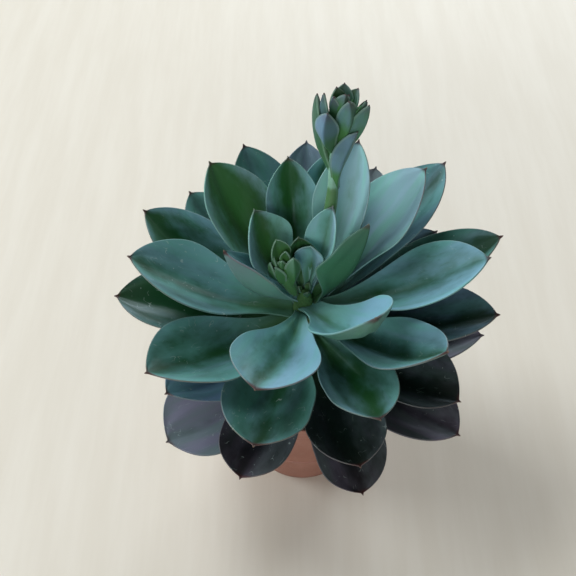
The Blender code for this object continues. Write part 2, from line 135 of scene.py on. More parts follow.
# A blade's form, in shares of its length or of half its width, as in the part
NECK_SHARE = 0.23
WIDEST = 0.63
BLUNT = 2.0
POINT_RATE = 1.05
LEAF_THICK = 4.2 * MM
ROOT_THICK = 3.4 * MM
ROOT_THICK_SHARE = 0.55
TIP_THICK = 0.9 * MM
RIM_THICK = 0.9 * MM
SPINE_STEPS = 60
WIDEN_POWER = 1.15
POINT_POWER = 0.75
FULL_THICK_AT = 0.3
THIN_POWER = 2.2
CURL_FROM = 0.7
CURL_POWER = 1.5
ROLLED_AT = 0.35
ROUND_POWER = 1.8
KEEL_POWER = 1.15
FOLD = 0.3
CUP_DRAWS_IN = 0.25
CUP_START = 0.12
CUP_RATE = 0.62
CUP_POWER = 0.8
BRACT_NECK_SHARE = 0.42
BRACT_WIDEST = 0.55
BRACT_THICK_SHARE = 0.36
BRACT_ROOT_THICK_SHARE = 0.24
BRACT_REACH = 2.2 * MM

# The finer grid: sections along a blade, closer together at its tip, and points round each
BODY_ROWS = 32
TIP_ROWS = 18
TIP_SHARE = 0.12
TIP_CROWDING = 1.5
TOP_POINTS = 23
RIM_POINTS = 3
ROOT_REACH = 2.5 * MM

# The spine at a leaf's end, how thin it gets there, the channel along its midrib and its lifted edges. The
# solids have no spine, channel or lifted edges.
POINT_LENGTH = 2.8 * MM
POINT_HALF = 1.5 * MM
POINT_END_HALF = 0.16 * MM
POINT_FULL_WIDTH = 30 * MM
POINT_BLEND = 3
THICK_TO_HALF = 1.6
LEAST_THICK = 0.1 * MM
LEAST_INNER = 0.3
GROOVE = 2.4 * MM
GROOVE_SHARE = 0.55
GROOVE_ROUND = 0.06
SAG_SHARE = 0.5
EDGE_CURL = 0.7 * MM
EDGE_CURL_FROM = 0.8

# Uneven growth, different on each leaf and on each of its halves, and gone at both of its ends
LEAF_PHASE = 2.4
HALF_PHASE = 1.9
FADE_POWER = 0.7
LEAF_WAVE = 0.9 * MM
LEAF_DENT = 0.5 * MM
WOBBLE = 0.032
UNEVEN_CUP = 0.12
RIDGE = 1.3 * MM
RIDGE_AT = 0.5
RIDGE_HALF = 0.17
# Its waves: size, rate along the leaf, and how far the leaf's phase and the place across shift each
SWELLS = ((1.0, 5.3, 1.0, 1.0), (0.6, 11.0, 2.0, 2.0))
DENTS_ALONG = ((1.0, 6.1, 1.7, 2.4),)
DENTS_ACROSS = ((1.0, 3.7, -1.3, 1.6),)
RIDGE_SWAY = ((0.12, 2.2, 1.0, 1.0),)
RIDGE_SIZE = ((1.0, 0.0, 1.3, 1.0),)
CHANNEL_SWAY = ((0.06, 4.2, 1.1, 0.0),)
RIPPLES = ((1.0, 7.7, 2.1, 1.0), (0.6, 15.0, 3.3, -1.0))

# Leaves: height, heading, rise, reach, width, bow, sweep, cup and what else each has, as in the part. Lengths
# are in millimetres and angles in degrees. Then its age, bloom and blush. The bloom can lie past 0 and 1.
# The bloom was set leaf by leaf to each leaf's brightness, so it is partly real bloom and partly painted light
# and shade.
LEAVES = (
    (87, -70, -12.5, 84, 36.5, 0, -4, 0.25, {"blunt": 3.2}, (0.95, 0.5, 0.7)),
    (89, 98, -12, 84, 38, 0, 0, 0.25, {}, (1, 0.4, 0.7)),
    (91, -38, 0.5, 94, 40, -10, 0, 0.25, {"blunt": 2.8}, (0.95, 0.75, 0.7)),
    (90.6, 172, -11, 83, 38, -10, 0, 0.25, {}, (0.95, 0.5, 0.7)),
    (93, 134, -9, 86, 38, -10, 0, 0.25, {}, (0.95, 0.5, 0.7)),
    (91.3, -140, -4.7, 88.5, 48, -20, -6, 0.25, {"blunt": 3.4}, (0.88, 1.3, 0.3)),
    (95, 58, -8, 86, 38, -10, 0, 0.25, {}, (0.95, 0.5, 0.7)),
    (91.8, 16, -8, 84, 38, -10, 0, 0.25, {}, (0.95, 0.5, 0.7)),
    (96, -111, -4, 86, 37, -10, 0, 0.25, {"blunt": 3.4}, (0.98, 0.4, 0.7)),
    (96, -8, 10, 91, 32, -14, 0, 0.25, {"roll": -4}, (0.9, 0.9, 0.2)),
    (98.8, -73, 2, 84.5, 39, -10, -3, 0.25, {"neck": 8, "blunt": 3.0}, (0.88, 0.1, 0.6)),
    (100, 155, 1, 88, 40, -8, 0, 0.25, {}, (0.8, 0.5, 0.6)),
    (101, -33, 3, 88, 41, -8, 0, 0.5, {"blunt": 2.8, "roll": -5}, (0.87, 0.05, 0.6)),
    (99.3, 80, 0, 86, 36, -8, 0, 0.25, {}, (0.8, 0.5, 0.6)),
    (103, 34, 14, 88, 36, -8, 0, 0.25, {}, (0.7, 0.6, 0.5)),
    (102.5, 110, 8, 88, 38, -8, 0, 0.25, {"neck": 7}, (0.7, 0.5, 0.6)),
    (103, -142, 9.5, 84, 40, -8, 0, 0.25, {}, (0.74, 2.4, 0.6)),
    (106, 179, 11.5, 96, 44, 0, 0, 0.25, {"neck": 13}, (0.55, 0.0, 0.6)),
    (108, -106, 9, 86, 43.5, -8, 2, 0.25, {"blunt": 3.1}, (0.5, 0.5, 0.7)),
    (107.7, -12, 17, 97.5, 38, -4, 0, 0.25, {}, (0.69, 0.32, 0.6)),
    (111.2, -67, 14.3, 84, 34.5, -2, -6, 0.25, {"blunt": 3.2, "neck": 7}, (0.18, 0.32, 0.6)),
    (106.2, 134, 20.5, 93, 38, -8, 0, 0.23, {"neck": 6.2}, (0.5, 0.75, 0.6)),
    (109.5, 63, 22.3, 92, 38, -8, 8, 0.25, {}, (0.9, 2.0, 0.2)),
    (114.6, 89, 30.4, 90.5, 33, -8, 0, 0.25, {"neck": 6.5}, (0.82, 1.2, 0.2)),
    (114, -142, 16, 94, 44, -10, 0, 0.25, {"neck": 15}, (0.4, 0.5, 0.8)),
    (110, 113, 32.5, 95.5, 36, -19, 8, 0.25, {"neck": 6.5}, (0.5, 1.1, 0.8)),
    (114.7, 38, 29.7, 103, 36, -6, 0, 0.25, {"neck": 10}, (0.6, 0.7, 0.9)),
    (111.7, 158, 26.7, 96, 40, -15, 0, 0.23, {}, (0.2, 0.12, 0.6)),
    (111.4, 8, 25, 105, 38, -8, 0, 0.22, {"neck": 13}, (0.5, 0.2, 0.7)),
    (118, -42, 24, 89, 36.5, -18, 0, 0.2, {"curl": -10}, (0.32, 0.55, 0.7)),
    (118.7, 181, 25, 91.5, 41.5, -12, 0, 0.25, {"neck": 15}, (0.46, 0.62, 0.6)),
    (121, -107, 22, 82, 40, 8, -8, 0.25, {"neck": 7, "widest": 0.75}, (0.2, 0.7, 0.7)),
    (121.6, -5, 26, 94, 40, -14, 0, 0.25, {"neck": 6}, (0.24, 0.6, 0.4)),
    (121.4, 140, 44.7, 84, 39, -9, 0, 0.23, {"neck": 5.5}, (0.1, 0.1, 0.35)),
    (118.2, 31, 42.7, 91, 36, -6, -6, 0.25, {"widest": 0.62, "neck": 6}, (0.05, 1.6, 0.8)),
    (117.6, 79, 42, 78, 26, -8, 0, 0.25, {"neck": 5}, (0.15, 0.6, 0.2)),
    (120.6, 60.2, 53.6, 85.3, 31, -6, 8, 0.55, {"neck": 5}, (0, 1.2, 0.6)),
    (123.6, 101, 52, 71.2, 28, -8, 0, 0.25, {"neck": 5}, (0.16, 0.22, 0.3)),
    (124, -57, 38, 68, 40, -14, 0, 0.3,
     {"neck": 12, "widest": 0.6, "blunt": 2.6, "curl": -40}, (0.2, 0.85, 0.4)),
    (125.5, -178, 43, 52, 20, -16, 0, 0.5,
     {"neck": 4, "widest": 0.45, "blunt": 1.6, "roll": -20}, (0.1, 1.2, 1.0)),
    (127, 142, 53, 51.3, 31.5, -12, -15, 0.4, {"neck": 3.3, "thick": 2.8}, (0.08, 0.3, 0.2)),
    (124.8, 19.6, 53, 52, 31, -16, 0, 0.42,
     {"neck": 9, "roll": 58, "thick": 3, "widest": 0.36}, (0.2, -0.3, 0.3)),
    (127.8, 53, 64.5, 49, 18.5, -8, 0, 0.6, {"neck": 3.4, "thick": 2.6}, (0.06, 0.85, 0.3)),
    (130.9, 68, 75, 26, 15, -5, 0, 0.25, {"neck": 4.5, "thick": 2.6, "widest": 0.76}, (0.1, 1.4, 0.1)),
    (128.6, 108, 70, 31.5, 17, -5, 0, 0.3, {"neck": 3.8, "thick": 2.6}, (0.3, -0.5, 0.1)),
)

# The flower stalk's middle line and radius, from the stem up, in millimetres, and its bracts: root, tip,
# width, outward heading, bow, cup and bloom
STALK = (
    ((2.5, 5.6, 123), 0.9),
    ((3.6, 7.7, 126.3), 1.2),
    ((4.8, 10.4, 131), 1.5),
    ((6.7, 13.8, 138), 1.8),
    ((9.3, 17.8, 150), 2.3),
    ((10.6, 18.9, 158), 2.7),
    ((11.8, 20.5, 167.6), 3.0),
    ((12.6, 23, 177.4), 2.6),
    ((12.4, 25.5, 186.2), 2.1),
    ((12.7, 28, 194), 2.0),
    ((14.1, 31.5, 204.6), 1.9),
    ((15.2, 34, 212.6), 1.3),
)
STALK_BRACTS = (
    ((13.9, 23.2, 179.3), (22.7, 26.5, 207.8), 9.8, -70, -22, 0.35, 0.5),
    ((11.6, 26, 187), (4.5, 36.5, 220.8), 10, 174, -26, 0.35, 0.3),
    ((12, 28, 195), (7.4, 34.5, 222.6), 9, -175, -18, 0.35, 0.7),
    ((12.2, 27, 197), (9, 26, 218.4), 11.8, -108, -24, 0.4, 0.8),
    ((14.2, 29.2, 199.5), (18, 29.5, 222), 10.5, -75, -20, 0.4, 0.28),
    ((14.2, 28.6, 196.5), (27.3, 31.5, 218.4), 11.5, -50, -18, 0.35, 0.08),
    ((14.6, 30.4, 199), (26.5, 36.5, 217.2), 10, -15, -16, 0.35, 0.1),
    ((15.5, 34.5, 206), (22.8, 41, 220.4), 10, 35, -16, 0.35, 0.5),
    ((15, 34.5, 206), (16.8, 43.3, 221.6), 10.5, 85, -16, 0.35, 0.6),
    ((14.4, 34, 205), (13.2, 41.2, 221), 10.5, 120, -16, 0.35, 0.0),
    ((13.8, 32.5, 205), (11.8, 34.8, 220.4), 9, -150, -14, 0.35, 0.6),
    ((15.2, 33, 208), (17, 35, 221.6), 8.5, -80, -18, 0.4, 0.3),
    ((15.5, 33.6, 207), (21, 36, 215.6), 7, -20, -16, 0.4, 0.4),
    ((15.8, 34.8, 207.2), (18.6, 38.4, 219), 6.6, 40, -16, 0.4, 0.4),
)
# The young shoot, in the same way
SHOOT = (
    ((-4.5, 0, 128.3), 1.3),
    ((-5.6, 0.1, 130.6), 2.2),
    ((-7.2, 0.5, 134.5), 3.0),
    ((-9.2, 0.6, 140), 3.3),
    ((-10.4, 0.8, 146), 2.2),
)
SHOOT_BRACTS = (
    ((-10, 2.2, 145), (-13.9, 6.4, 160.4), 11.5, 122, -12, 0.45, 0.0),
    ((-9.6, 1.3, 146), (-9.4, 2, 157), 6, 80, -10, 0.4, 0.3),
    ((-12, 0.3, 138.5), (-16.7, -0.3, 151.6), 6.5, -170, -24, 0.4, 0.3),
    ((-11.6, 1.2, 143), (-15.3, 1.5, 154.4), 6, 175, -16, 0.4, 0.2),
    ((-9.6, -0.2, 141), (-10.8, -0.5, 153), 6.5, -100, -18, 0.4, 0.3),
    ((-10.8, -0.3, 142.5), (-13, 0.2, 151.4), 4.6, -140, -16, 0.4, 0.2),
    ((-8.8, -1.2, 138.4), (-13.6, -2.6, 150.6), 7.5, -125, -20, 0.4, 0.35),
    ((-6.2, -0.8, 136.8), (-5.8, -2.2, 157), 8.5, -78, -12, 0.4, 0.2),
)

# The flower stalk is green up to its first bract, and pale above it, in millimetres along it
STALK_GREEN = 57
STALK_PALE = 61
# Buds in the flower head and in the young shoot: foot, tip and thickness, in millimetres
BUDS = (
    ((15.6, 32, 208), (19.5, 33.6, 217.5), 4.2),
    ((15.2, 33, 209), (16.2, 34.2, 219.5), 4.2),
    ((16, 34, 209), (20.6, 37.4, 217), 3.8),
    ((15, 34.5, 209), (15.6, 38.2, 218), 3.8),
    ((14.6, 33, 208), (13, 37, 217.2), 3.6),
    ((16.4, 33.2, 208), (23.6, 33.8, 214.5), 3.4),
    ((16.6, 31.4, 208), (22.8, 31.6, 216), 3.2),
    ((16.8, 32.6, 208), (24.3, 33.4, 216.6), 3),
)
SHOOT_BUDS = (
    ((-11, 0.5, 142), (-14.4, 0.6, 152), 3.4),
    ((-10.6, -0.6, 141.5), (-11.8, -0.8, 150), 3.4),
    ((-9, -0.8, 141), (-8.9, -1.2, 151), 3.6),
    ((-11.4, -0.4, 139.6), (-15.4, -0.8, 147), 3.2),
    ((-9.8, 1, 144), (-11.8, 1.8, 154), 3.2),
)
# Small leaves round the growing tip: heading, rise, length and width
CROWN_LEAVES = ((-70, 66, 6, 4), (50, 72, 6, 4), (170, 70, 5.5, 3.6))
CROWN_OUT = 1.5 * MM
CROWN_DROP = 2.5 * MM
CROWN_BOW = -14
CROWN_CUP = 0.45
# Age, bloom and blush of the pieces that aren't in the table of leaves
CROWN_NATURE = (0.3, -0.2, 0.0)
STALK_NATURE = (0.05, 0.5, 0.0)
BUD_NATURE = (0.08, 0.3, 0.3)
SHOOT_BUD_NATURE = (0.06, 0.2, 0.0)
STALK_BRACT_AGE, STALK_BRACT_BLUSH = 0.16, 0.5
SHOOT_BRACT_AGE, SHOOT_BRACT_BLUSH = 0.06, 0.0
# Numbers of the first blade or tube of each kind, after the leaves' own. A texture is shifted by them.
STALK_SEED = 50
BRACT_SEED = 51
CROWN_SEED = 60
BUD_SEED = 80
# Stalks and buds: their grid, how blunt a bud's ends are, and what stands for their margin, tip and underside
STALK_SIDES = 32
BUD_SIDES = 20
BUD_RINGS = 9
BUD_END = 0.12
BUD_START = 0.15
BUD_POWER = 0.6
TUBE_STEPS = 6
TUBE_EDGE = (5.0, 50.0, 0.3)

# Skin of a leaf by its age: flesh, bloom over it, underside, blush and thin rim
FLESH = (
    (0.0, (0.07, 0.19, 0.06)),
    (0.18, (0.014, 0.085, 0.018)),
    (0.45, (0.011, 0.062, 0.019)),
    (0.75, (0.01, 0.032, 0.021)),
    (1.0, (0.013, 0.013, 0.017)),
)
WAX = (
    (0.0, (0.31, 0.56, 0.6)),
    (0.2, (0.18, 0.4, 0.48)),
    (0.5, (0.12, 0.3, 0.31)),
    (0.75, (0.13, 0.24, 0.36)),
    (0.9, (0.19, 0.2, 0.25)),
    (1.0, (0.085, 0.085, 0.11)),
)
UNDERSIDE = (
    (0.1, (0.13, 0.29, 0.22)),
    (0.2, (0.07, 0.22, 0.12)),
    (0.5, (0.07, 0.15, 0.12)),
    (1.0, (0.06, 0.05, 0.06)),
)
BLUSH = ((0.15, (0.2, 0.2, 0.27)), (0.55, (0.17, 0.08, 0.1)), (0.8, (0.14, 0.05, 0.055)))
RIM = ((0.1, (0.18, 0.35, 0.28)), (0.5, (0.1, 0.2, 0.17)), (0.85, (0.14, 0.15, 0.155)))
GREEN_CAST, VIOLET_CAST = (0.86, 1.03, 0.88), (1.1, 0.99, 1.08)
LEAF_FOOT = (0.13, 0.3, 0.13)
RED_RIM = (0.17, 0.06, 0.045)
PALE_EDGE_AND_HIGHLIGHT = (0.4, 0.5, 0.46)
SPINE_LOW, SPINE_END = (0.07, 0.022, 0.018), (0.2, 0.13, 0.09)
DUST = (0.5, 0.62, 0.6)
WAXY = dict(Specular_IOR_Level=0.32, Specular_Tint=(0.6, 0.82, 1.0, 1), Sheen_Weight=0.1, Sheen_Roughness=0.4)
# Skin of the bracts and of the stalks
BRACT_OUTSIDE = (0.065, 0.2, 0.06)
BRACT_INSIDE, BRACT_INSIDE_BLOOM = (0.055, 0.17, 0.045), (0.08, 0.2, 0.15)
BRACT_GREEN_BLOOM, BRACT_BLUE_BLOOM = (0.14, 0.29, 0.22), (0.125, 0.23, 0.33)
BRACT_PAINTED_SHADE = (0.03, 0.07, 0.065)
BRACT_MARGIN = (0.26, 0.4, 0.33)
BRACT_END, BRACT_POINT = (0.08, 0.05, 0.08), (0.07, 0.04, 0.04)
STALK_LOW, STALK_HIGH = (0.07, 0.19, 0.065), (0.23, 0.47, 0.36)
# Stem, soil, crumbs, pot and floor
STEM_GREEN, STEM_BROWN = (0.09, 0.1, 0.045), (0.2, 0.15, 0.1)
STEM_CRACK, STEM_YOUNG = (0.05, 0.04, 0.03), (0.075, 0.19, 0.06)
STEM_YOUNG_FROM, STEM_YOUNG_TO = 108 * MM, 122 * MM
SOIL_TONES = ((0.3, (0.012, 0.008, 0.006)), (0.55, (0.04, 0.026, 0.018)), (0.75, (0.1, 0.07, 0.05)))
CRUMB_TONES = ((0.35, (0.03, 0.018, 0.012)), (0.5, (0.09, 0.05, 0.03)), (0.68, (0.2, 0.15, 0.11)))
CRUMB_DARK = (0.02, 0.013, 0.009)
POT_TONE, POT_PALE, POT_DUST = (0.29, 0.121, 0.085), (0.335, 0.154, 0.114), (0.36, 0.24, 0.2)
POT_RING_PITCH = 1.6 * MM
FLOOR_TONE, FLOOR_PALE = (0.71, 0.665, 0.58), (0.75, 0.71, 0.63)
FLOOR_HALF = 12.0

# Camera, read from the photograph: the pot's axis is upright in it
LENS = 55.375
SENSOR = 36.0
DEPRESSION = 49.0
LOOK_AT = (-8.25 * MM, 0, 133 * MM)
CAMERA_DISTANCE = 0.43

# Lights: name, place, size, power and colour. The window is behind and to the left.
LIGHT_AIM = (0, 0, 0.12)
LIGHTS = (
    ("window_back", (0.5, 1.9, 0.8), (1.4, 0.7), 27, (0.93, 0.98, 1.0)),
    ("window_left", (-1.9, 0.5, 0.8), (1.0, 0.7), 22, (0.93, 0.98, 1.0)),
    ("window_high", (-0.8, 0.5, 1.7), (0.9, 0.6), 14, (0.96, 0.99, 1.0)),
    ("front_fill", (-0.4, -1.7, 0.8), (1.2, 0.7), 12, (1.0, 0.98, 0.95)),
)
ROOM_LIGHT = (1.0, 0.98, 0.95, 1)
ROOM_STRENGTH = 0.19


# Form
def round_axis(radius, angle, z):
    """The point at a radius, an angle and a height."""
    return radius * cos(angle), radius * sin(angle), z


def stem_radius(z):
    """The stem's radius at a height. It tapers where the young leaves stand."""
    if z < TAPER_START:
        share = max(0.0, (z - SHOULDER_START) / (TAPER_START - SHOULDER_START))
        return STEM_RADIUS + (SHOULDER_RADIUS - STEM_RADIUS) * share
    share = min(1.0, (z - TAPER_START) / (TAPER_END - TAPER_START))
    return SHOULDER_RADIUS + (STEM_TOP_RADIUS - SHOULDER_RADIUS) * share**TAPER_POWER


def raw_curve(bow, sweep, curl):
    """A midrib of length one along +X: shares of its length, directions and points."""
    shares = np.linspace(0, 1, SPINE_STEPS + 1)
    curled = np.clip((shares - CURL_FROM) / (1 - CURL_FROM), 0, 1) ** CURL_POWER
    rise = bow * (1 - 2 * shares) - curl * curled
    turn = sweep * (2 * shares - 1)
    ways = np.stack([np.cos(rise) * np.cos(turn), np.cos(rise) * np.sin(turn), np.sin(rise)], 1)
    steps = np.cumsum((ways[1:] + ways[:-1]) / 2, 0) / SPINE_STEPS
    return shares, ways, np.concatenate([np.zeros((1, 3)), steps])


def heading_and_rise(way):
    """The heading and the rise of a direction, in radians."""
    return atan2(way[1], way[0]), atan2(way[2], hypot(way[0], way[1]))


def turned(vectors, heading, rise, new_heading, new_rise):
    """Vectors turned so that one direction comes to lie along another."""
    c, s = cos(-heading), sin(-heading)
    x = vectors[:, 0] * c - vectors[:, 1] * s
    y = vectors[:, 0] * s + vectors[:, 1] * c
    z = vectors[:, 2]
    c, s = cos(new_rise - rise), sin(new_rise - rise)
    x, z = x * c - z * s, x * s + z * c
    c, s = cos(new_heading), sin(new_heading)
    return np.stack([x * c - y * s, x * s + y * c, z], 1)


def leaf_blade(row):
    """A leaf's blade: where its root stands off the stem, where its tip is, and its form."""
    height, heading, rise, reach, width, bow, sweep, cup, more = row[:9]
    heading, rise, bow, sweep = (radians(a) for a in (heading, rise, bow, sweep))
    curl = radians(more.get("curl", 0))
    neck = more.get("neck", NECK_SHARE * width) * MM
    root_thick = min(ROOT_THICK, ROOT_THICK_SHARE * neck)
    points = raw_curve(bow, sweep, curl)[2]
    lean = sin(rise + bow - heading_and_rise(points[-1])[1])
    off = stem_radius(height * MM) + SEAT_GAP + root_thick * max(lean / 2, -lean)
    root = np.array(round_axis(off, heading, height * MM))
    tip = np.array(round_axis(reach * MM * cos(rise), heading, height * MM + reach * MM * sin(rise)))
    return SimpleNamespace(
        root=root, tip=tip, face=heading_and_rise(tip - root)[0], width=width * MM, neck=neck, cup=cup,
        widest=more.get("widest", WIDEST), blunt=more.get("blunt", BLUNT), bow=bow, sweep=sweep, curl=curl,
        roll=radians(more.get("roll", 0)), thick=more.get("thick", LEAF_THICK / MM) * MM,
        root_thick=root_thick, keel=ROUND_POWER, uneven=1.0, groove=GROOVE, reach_in=ROOT_REACH,
    )


def bract_blade(row):
    """A bract's blade from its root, tip, width, outward heading, bow and cup."""
    root, tip, width, face, bow, cup = row[:6]
    return SimpleNamespace(
        root=np.array(root) * MM, tip=np.array(tip) * MM, face=radians(face), width=width * MM,
        neck=BRACT_NECK_SHARE * width * MM, cup=cup, widest=BRACT_WIDEST, blunt=BLUNT, bow=radians(bow),
        sweep=0.0, curl=0.0, roll=0.0, thick=BRACT_THICK_SHARE * width * MM,
        root_thick=BRACT_ROOT_THICK_SHARE * width * MM, keel=KEEL_POWER, uneven=0.0, groove=0.0,
        reach_in=BRACT_REACH,
    )


def half_width(share, blade, length):
    """Half the blade's width at a share of its length: a narrow root, a wide middle and a small point."""
    half = blade.width / 2
    if share <= blade.widest:
        grow = (max(0.0, share) / blade.widest) ** WIDEN_POWER
        grow = grow * grow * (3 - 2 * grow)
        neck = blade.neck / blade.width
        return half * (neck + (1 - neck) * grow)
    beyond = (share - blade.widest) / (1 - blade.widest)
    body = half * max(0.0, 1 - (beyond * POINT_RATE) ** blade.blunt) ** POINT_POWER
    size = min(1.0, blade.width / POINT_FULL_WIDTH)
    left = min(1.0, (1 - share) * length / (POINT_LENGTH * size))
    point = POINT_END_HALF + (POINT_HALF * size - POINT_END_HALF) * left
    return (body**POINT_BLEND + point**POINT_BLEND) ** (1 / POINT_BLEND)


def thickness(share, blade):
    """The blade's thickness on its midrib."""
    if share < FULL_THICK_AT:
        grown = max(0.0, share) / FULL_THICK_AT
        return blade.root_thick + (blade.thick - blade.root_thick) * grown
    beyond = (share - FULL_THICK_AT) / (1 - FULL_THICK_AT)
    return blade.thick + (TIP_THICK - blade.thick) * beyond**THIN_POWER


def section_ring():
    """The points round one section: share across, how far out and up on the rim, and 0 above to 1 below."""
    across = np.sin(np.linspace(-1, 1, TOP_POINTS) * pi / 2)
    arc = np.linspace(pi / 2, -pi / 2, RIM_POINTS + 2)[1:-1]
    upper = [(u, 0.0, 1.0, 0.0) for u in across]
    lower = [(u, 0.0, -1.0, 1.0) for u in across[::-1]]
    first_rim = [(1.0, cos(angle), sin(angle), 0.5) for angle in arc]
    other_rim = [(-1.0, cos(angle), sin(angle), 0.5) for angle in arc[::-1]]
    return upper + first_rim + lower + other_rim


RING = section_ring()


def waves(table, share, phase, place):
    """A sum of waves along a leaf, each with its size, its rate, and how far phase and place shift it."""
    return sum(size * sin(rate * share + by_phase * phase + by_place * place)
               for size, rate, by_phase, by_place in table)


def uneven_lift(u, share, phase, hand):
    """How far a leaf's blade swells, dents and ridges up or down at one point."""
    dent = waves(DENTS_ALONG, share, phase, u) * waves(DENTS_ACROSS, share, phase, u)
    ridge_at = np.sign(u) * (RIDGE_AT + waves(RIDGE_SWAY, share, phase, hand))
    ridge = exp(-(((u - ridge_at) / RIDGE_HALF) ** 2)) * waves(RIDGE_SIZE, share, phase, hand)
    return LEAF_WAVE * waves(SWELLS, share, phase, hand) * u * u + LEAF_DENT * dent + RIDGE * ridge


def section_points(share, blade, half, phase):
    """How far across and up from the midrib each point of one section lies."""
    thick = min(thickness(share, blade), THICK_TO_HALF * half + LEAST_THICK)
    rim = min(RIM_THICK, thick)
    inner = max(half - rim / 2, LEAST_INNER * half)
    bulge = half - inner
    cup = blade.cup * sin(pi * max(0.0, CUP_START + CUP_RATE * share)) ** CUP_POWER
    fade = sin(pi * min(1.0, max(0.0, share))) ** FADE_POWER
    uneven = fade * blade.uneven
    groove = min(blade.groove, GROOVE_SHARE * thick) * fade
    channel_at = waves(CHANNEL_SWAY, share, phase, 0.0)
    points = []
    for u, out, top, _ in RING:
        hand = HALF_PHASE * np.sign(u)
        lift = cup * half * (hypot(u, FOLD) - FOLD) / (hypot(1, FOLD) - FOLD)
        lift *= 1 + UNEVEN_CUP * sin(phase + hand) * blade.uneven
        lift += uneven * uneven_lift(u, share, phase, hand)
        past = max(0.0, (abs(u) - EDGE_CURL_FROM) / (1 - EDGE_CURL_FROM))
        lift += EDGE_CURL * (groove / GROOVE) * past**2
        shaded_bract_half = hypot(u - channel_at, GROOVE_ROUND) - GROOVE_ROUND
        fold = groove * max(0.0, 1 - shaded_bract_half / (hypot(1, GROOVE_ROUND) - GROOVE_ROUND))
        lift -= fold * SAG_SHARE / GROOVE_SHARE
        if out:
            height = rim / 2 * top
        elif top > 0:
            height = rim / 2 - fold
        else:
            height = rim / 2 - (rim + (thick - rim) * (1 - abs(u) ** blade.keel))
        spread = 1 + WOBBLE * waves(RIPPLES, share, phase, hand) * uneven
        across = (inner * u + bulge * out * np.sign(u)) * spread * (1 - CUP_DRAWS_IN * cup * cup)
        points.append((across, lift + height))
    return points


def blade_line(blade):
    """The blade's length, and the shares, points and directions of its midrib."""
    shares, ways, points = raw_curve(blade.bow, blade.sweep, blade.curl)
    raw = heading_and_rise(points[-1])
    chord = blade.tip - blade.root
    aim = heading_and_rise(chord)
    if pi / 2 < abs(aim[0] - blade.face) < 3 * pi / 2:
        aim = (aim[0] + pi, pi - aim[1])
    length = np.linalg.norm(chord) / np.linalg.norm(points[-1])
    return length, shares, blade.root + turned(points, *raw, *aim) * length, turned(ways, *raw, *aim)


def section_frame(share, blade, length, shares, line, ways):
    """The middle of a section, and its directions across and up."""
    middle = np.array([np.interp(share, shares, line[:, k]) for k in range(3)])
    way = np.array([np.interp(share, shares, ways[:, k]) for k in range(3)])
    way /= np.linalg.norm(way)
    middle = middle + way * min(0.0, share) * length
    level = np.array([sin(blade.face), -cos(blade.face), 0])
    side = level - way * (level @ way)
    side /= np.linalg.norm(side)
    up = np.cross(side, way)
    roll = blade.roll * min(1.0, max(0.0, share) / ROLLED_AT)
    return middle, side * cos(roll) + up * sin(roll), up * cos(roll) - side * sin(roll)


def ring_faces(rings, sides):
    """The faces that join rings of points into a tube with closed ends."""
    faces = []
    for i in range(rings - 1):
        for k in range(sides):
            a, b = i * sides + k, i * sides + (k + 1) % sides
            faces.append((a, b, b + sides, a + sides))
    last = (rings - 1) * sides
    return faces + [tuple(range(sides))[::-1], tuple(range(last, last + sides))]


def blade_mesh(blade, seed):
    """The points and faces of one blade, with where each point lies on it in millimetres."""
    length, *midrib = blade_line(blade)
    body_rows = np.linspace(0, 1 - TIP_SHARE, BODY_ROWS)
    tip_rows = 1 - TIP_SHARE * (1 - np.linspace(0, 1, TIP_ROWS + 1)[1:]) ** TIP_CROWDING
    rows = [-blade.reach_in / length, *body_rows, *tip_rows]
    verts = []
    place = []
    edge = []
    for share in rows:
        middle, side, up = section_frame(share, blade, length, *midrib)
        half = half_width(share, blade, length)
        points = section_points(share, blade, half, seed * LEAF_PHASE)
        for (across, lift), (u, _, _, under) in zip(points, RING):
            verts.append(middle + side * across + up * lift)
            place.append((half * u / MM, share * length / MM, seed))
            edge.append(((1 - abs(u)) * half / MM, (1 - share) * length / MM, under))
    return verts, ring_faces(len(rows), len(RING)), place, edge


def smooth_through(knots, values, at):
    """Values on a smooth curve through the knots, by a cubic in each span."""
    slopes = np.gradient(values, knots)
    span = np.clip(np.searchsorted(knots, at, side="right") - 1, 0, len(knots) - 2)
    size = knots[span + 1] - knots[span]
    t = (at - knots[span]) / size
    out = (2 * t**3 - 3 * t**2 + 1) * values[span] + (t**3 - 2 * t**2 + t) * slopes[span] * size
    return out + (3 * t**2 - 2 * t**3) * values[span + 1] + (t**3 - t**2) * slopes[span + 1] * size


def tube_mesh(line, radii, sides, seed):
    """The points and faces of a round stalk along a smoothed line, with where each point lies on it."""
    line = np.array(line, float)
    spans = np.concatenate([[0], np.cumsum(np.linalg.norm(np.diff(line, axis=0), axis=1))])
    steps = np.linspace(0, spans[-1], TUBE_STEPS * len(line))
    fine = np.stack([smooth_through(spans, line[:, k], steps) for k in range(3)], 1)
    sizes = smooth_through(spans, np.array(radii), steps)
    ways = np.gradient(fine, axis=0)
    ways /= np.linalg.norm(ways, axis=1)[:, None]
    side = np.cross(ways[0], (0.0, 1.0, 0.0))
    verts = []
    place = []
    for middle, way, radius, along in zip(fine, ways, sizes, steps):
        side = side - way * (side @ way)
        side /= np.linalg.norm(side)
        other = np.cross(way, side)
        for k in range(sides):
            angle = 2 * pi * k / sides
            verts.append(middle + radius * (side * cos(angle) + other * sin(angle)))
            place.append((radius * angle / MM, along / MM, seed))
    return verts, ring_faces(len(fine), sides), place, [TUBE_EDGE] * len(verts)


def part_way(corner, other, radius):
    """A point this far from a corner towards another one, but less than half-way."""
    length = np.linalg.norm(other - corner)
    return corner + (other - corner) / length * min(radius, length / POT_EDGE_ROOM)


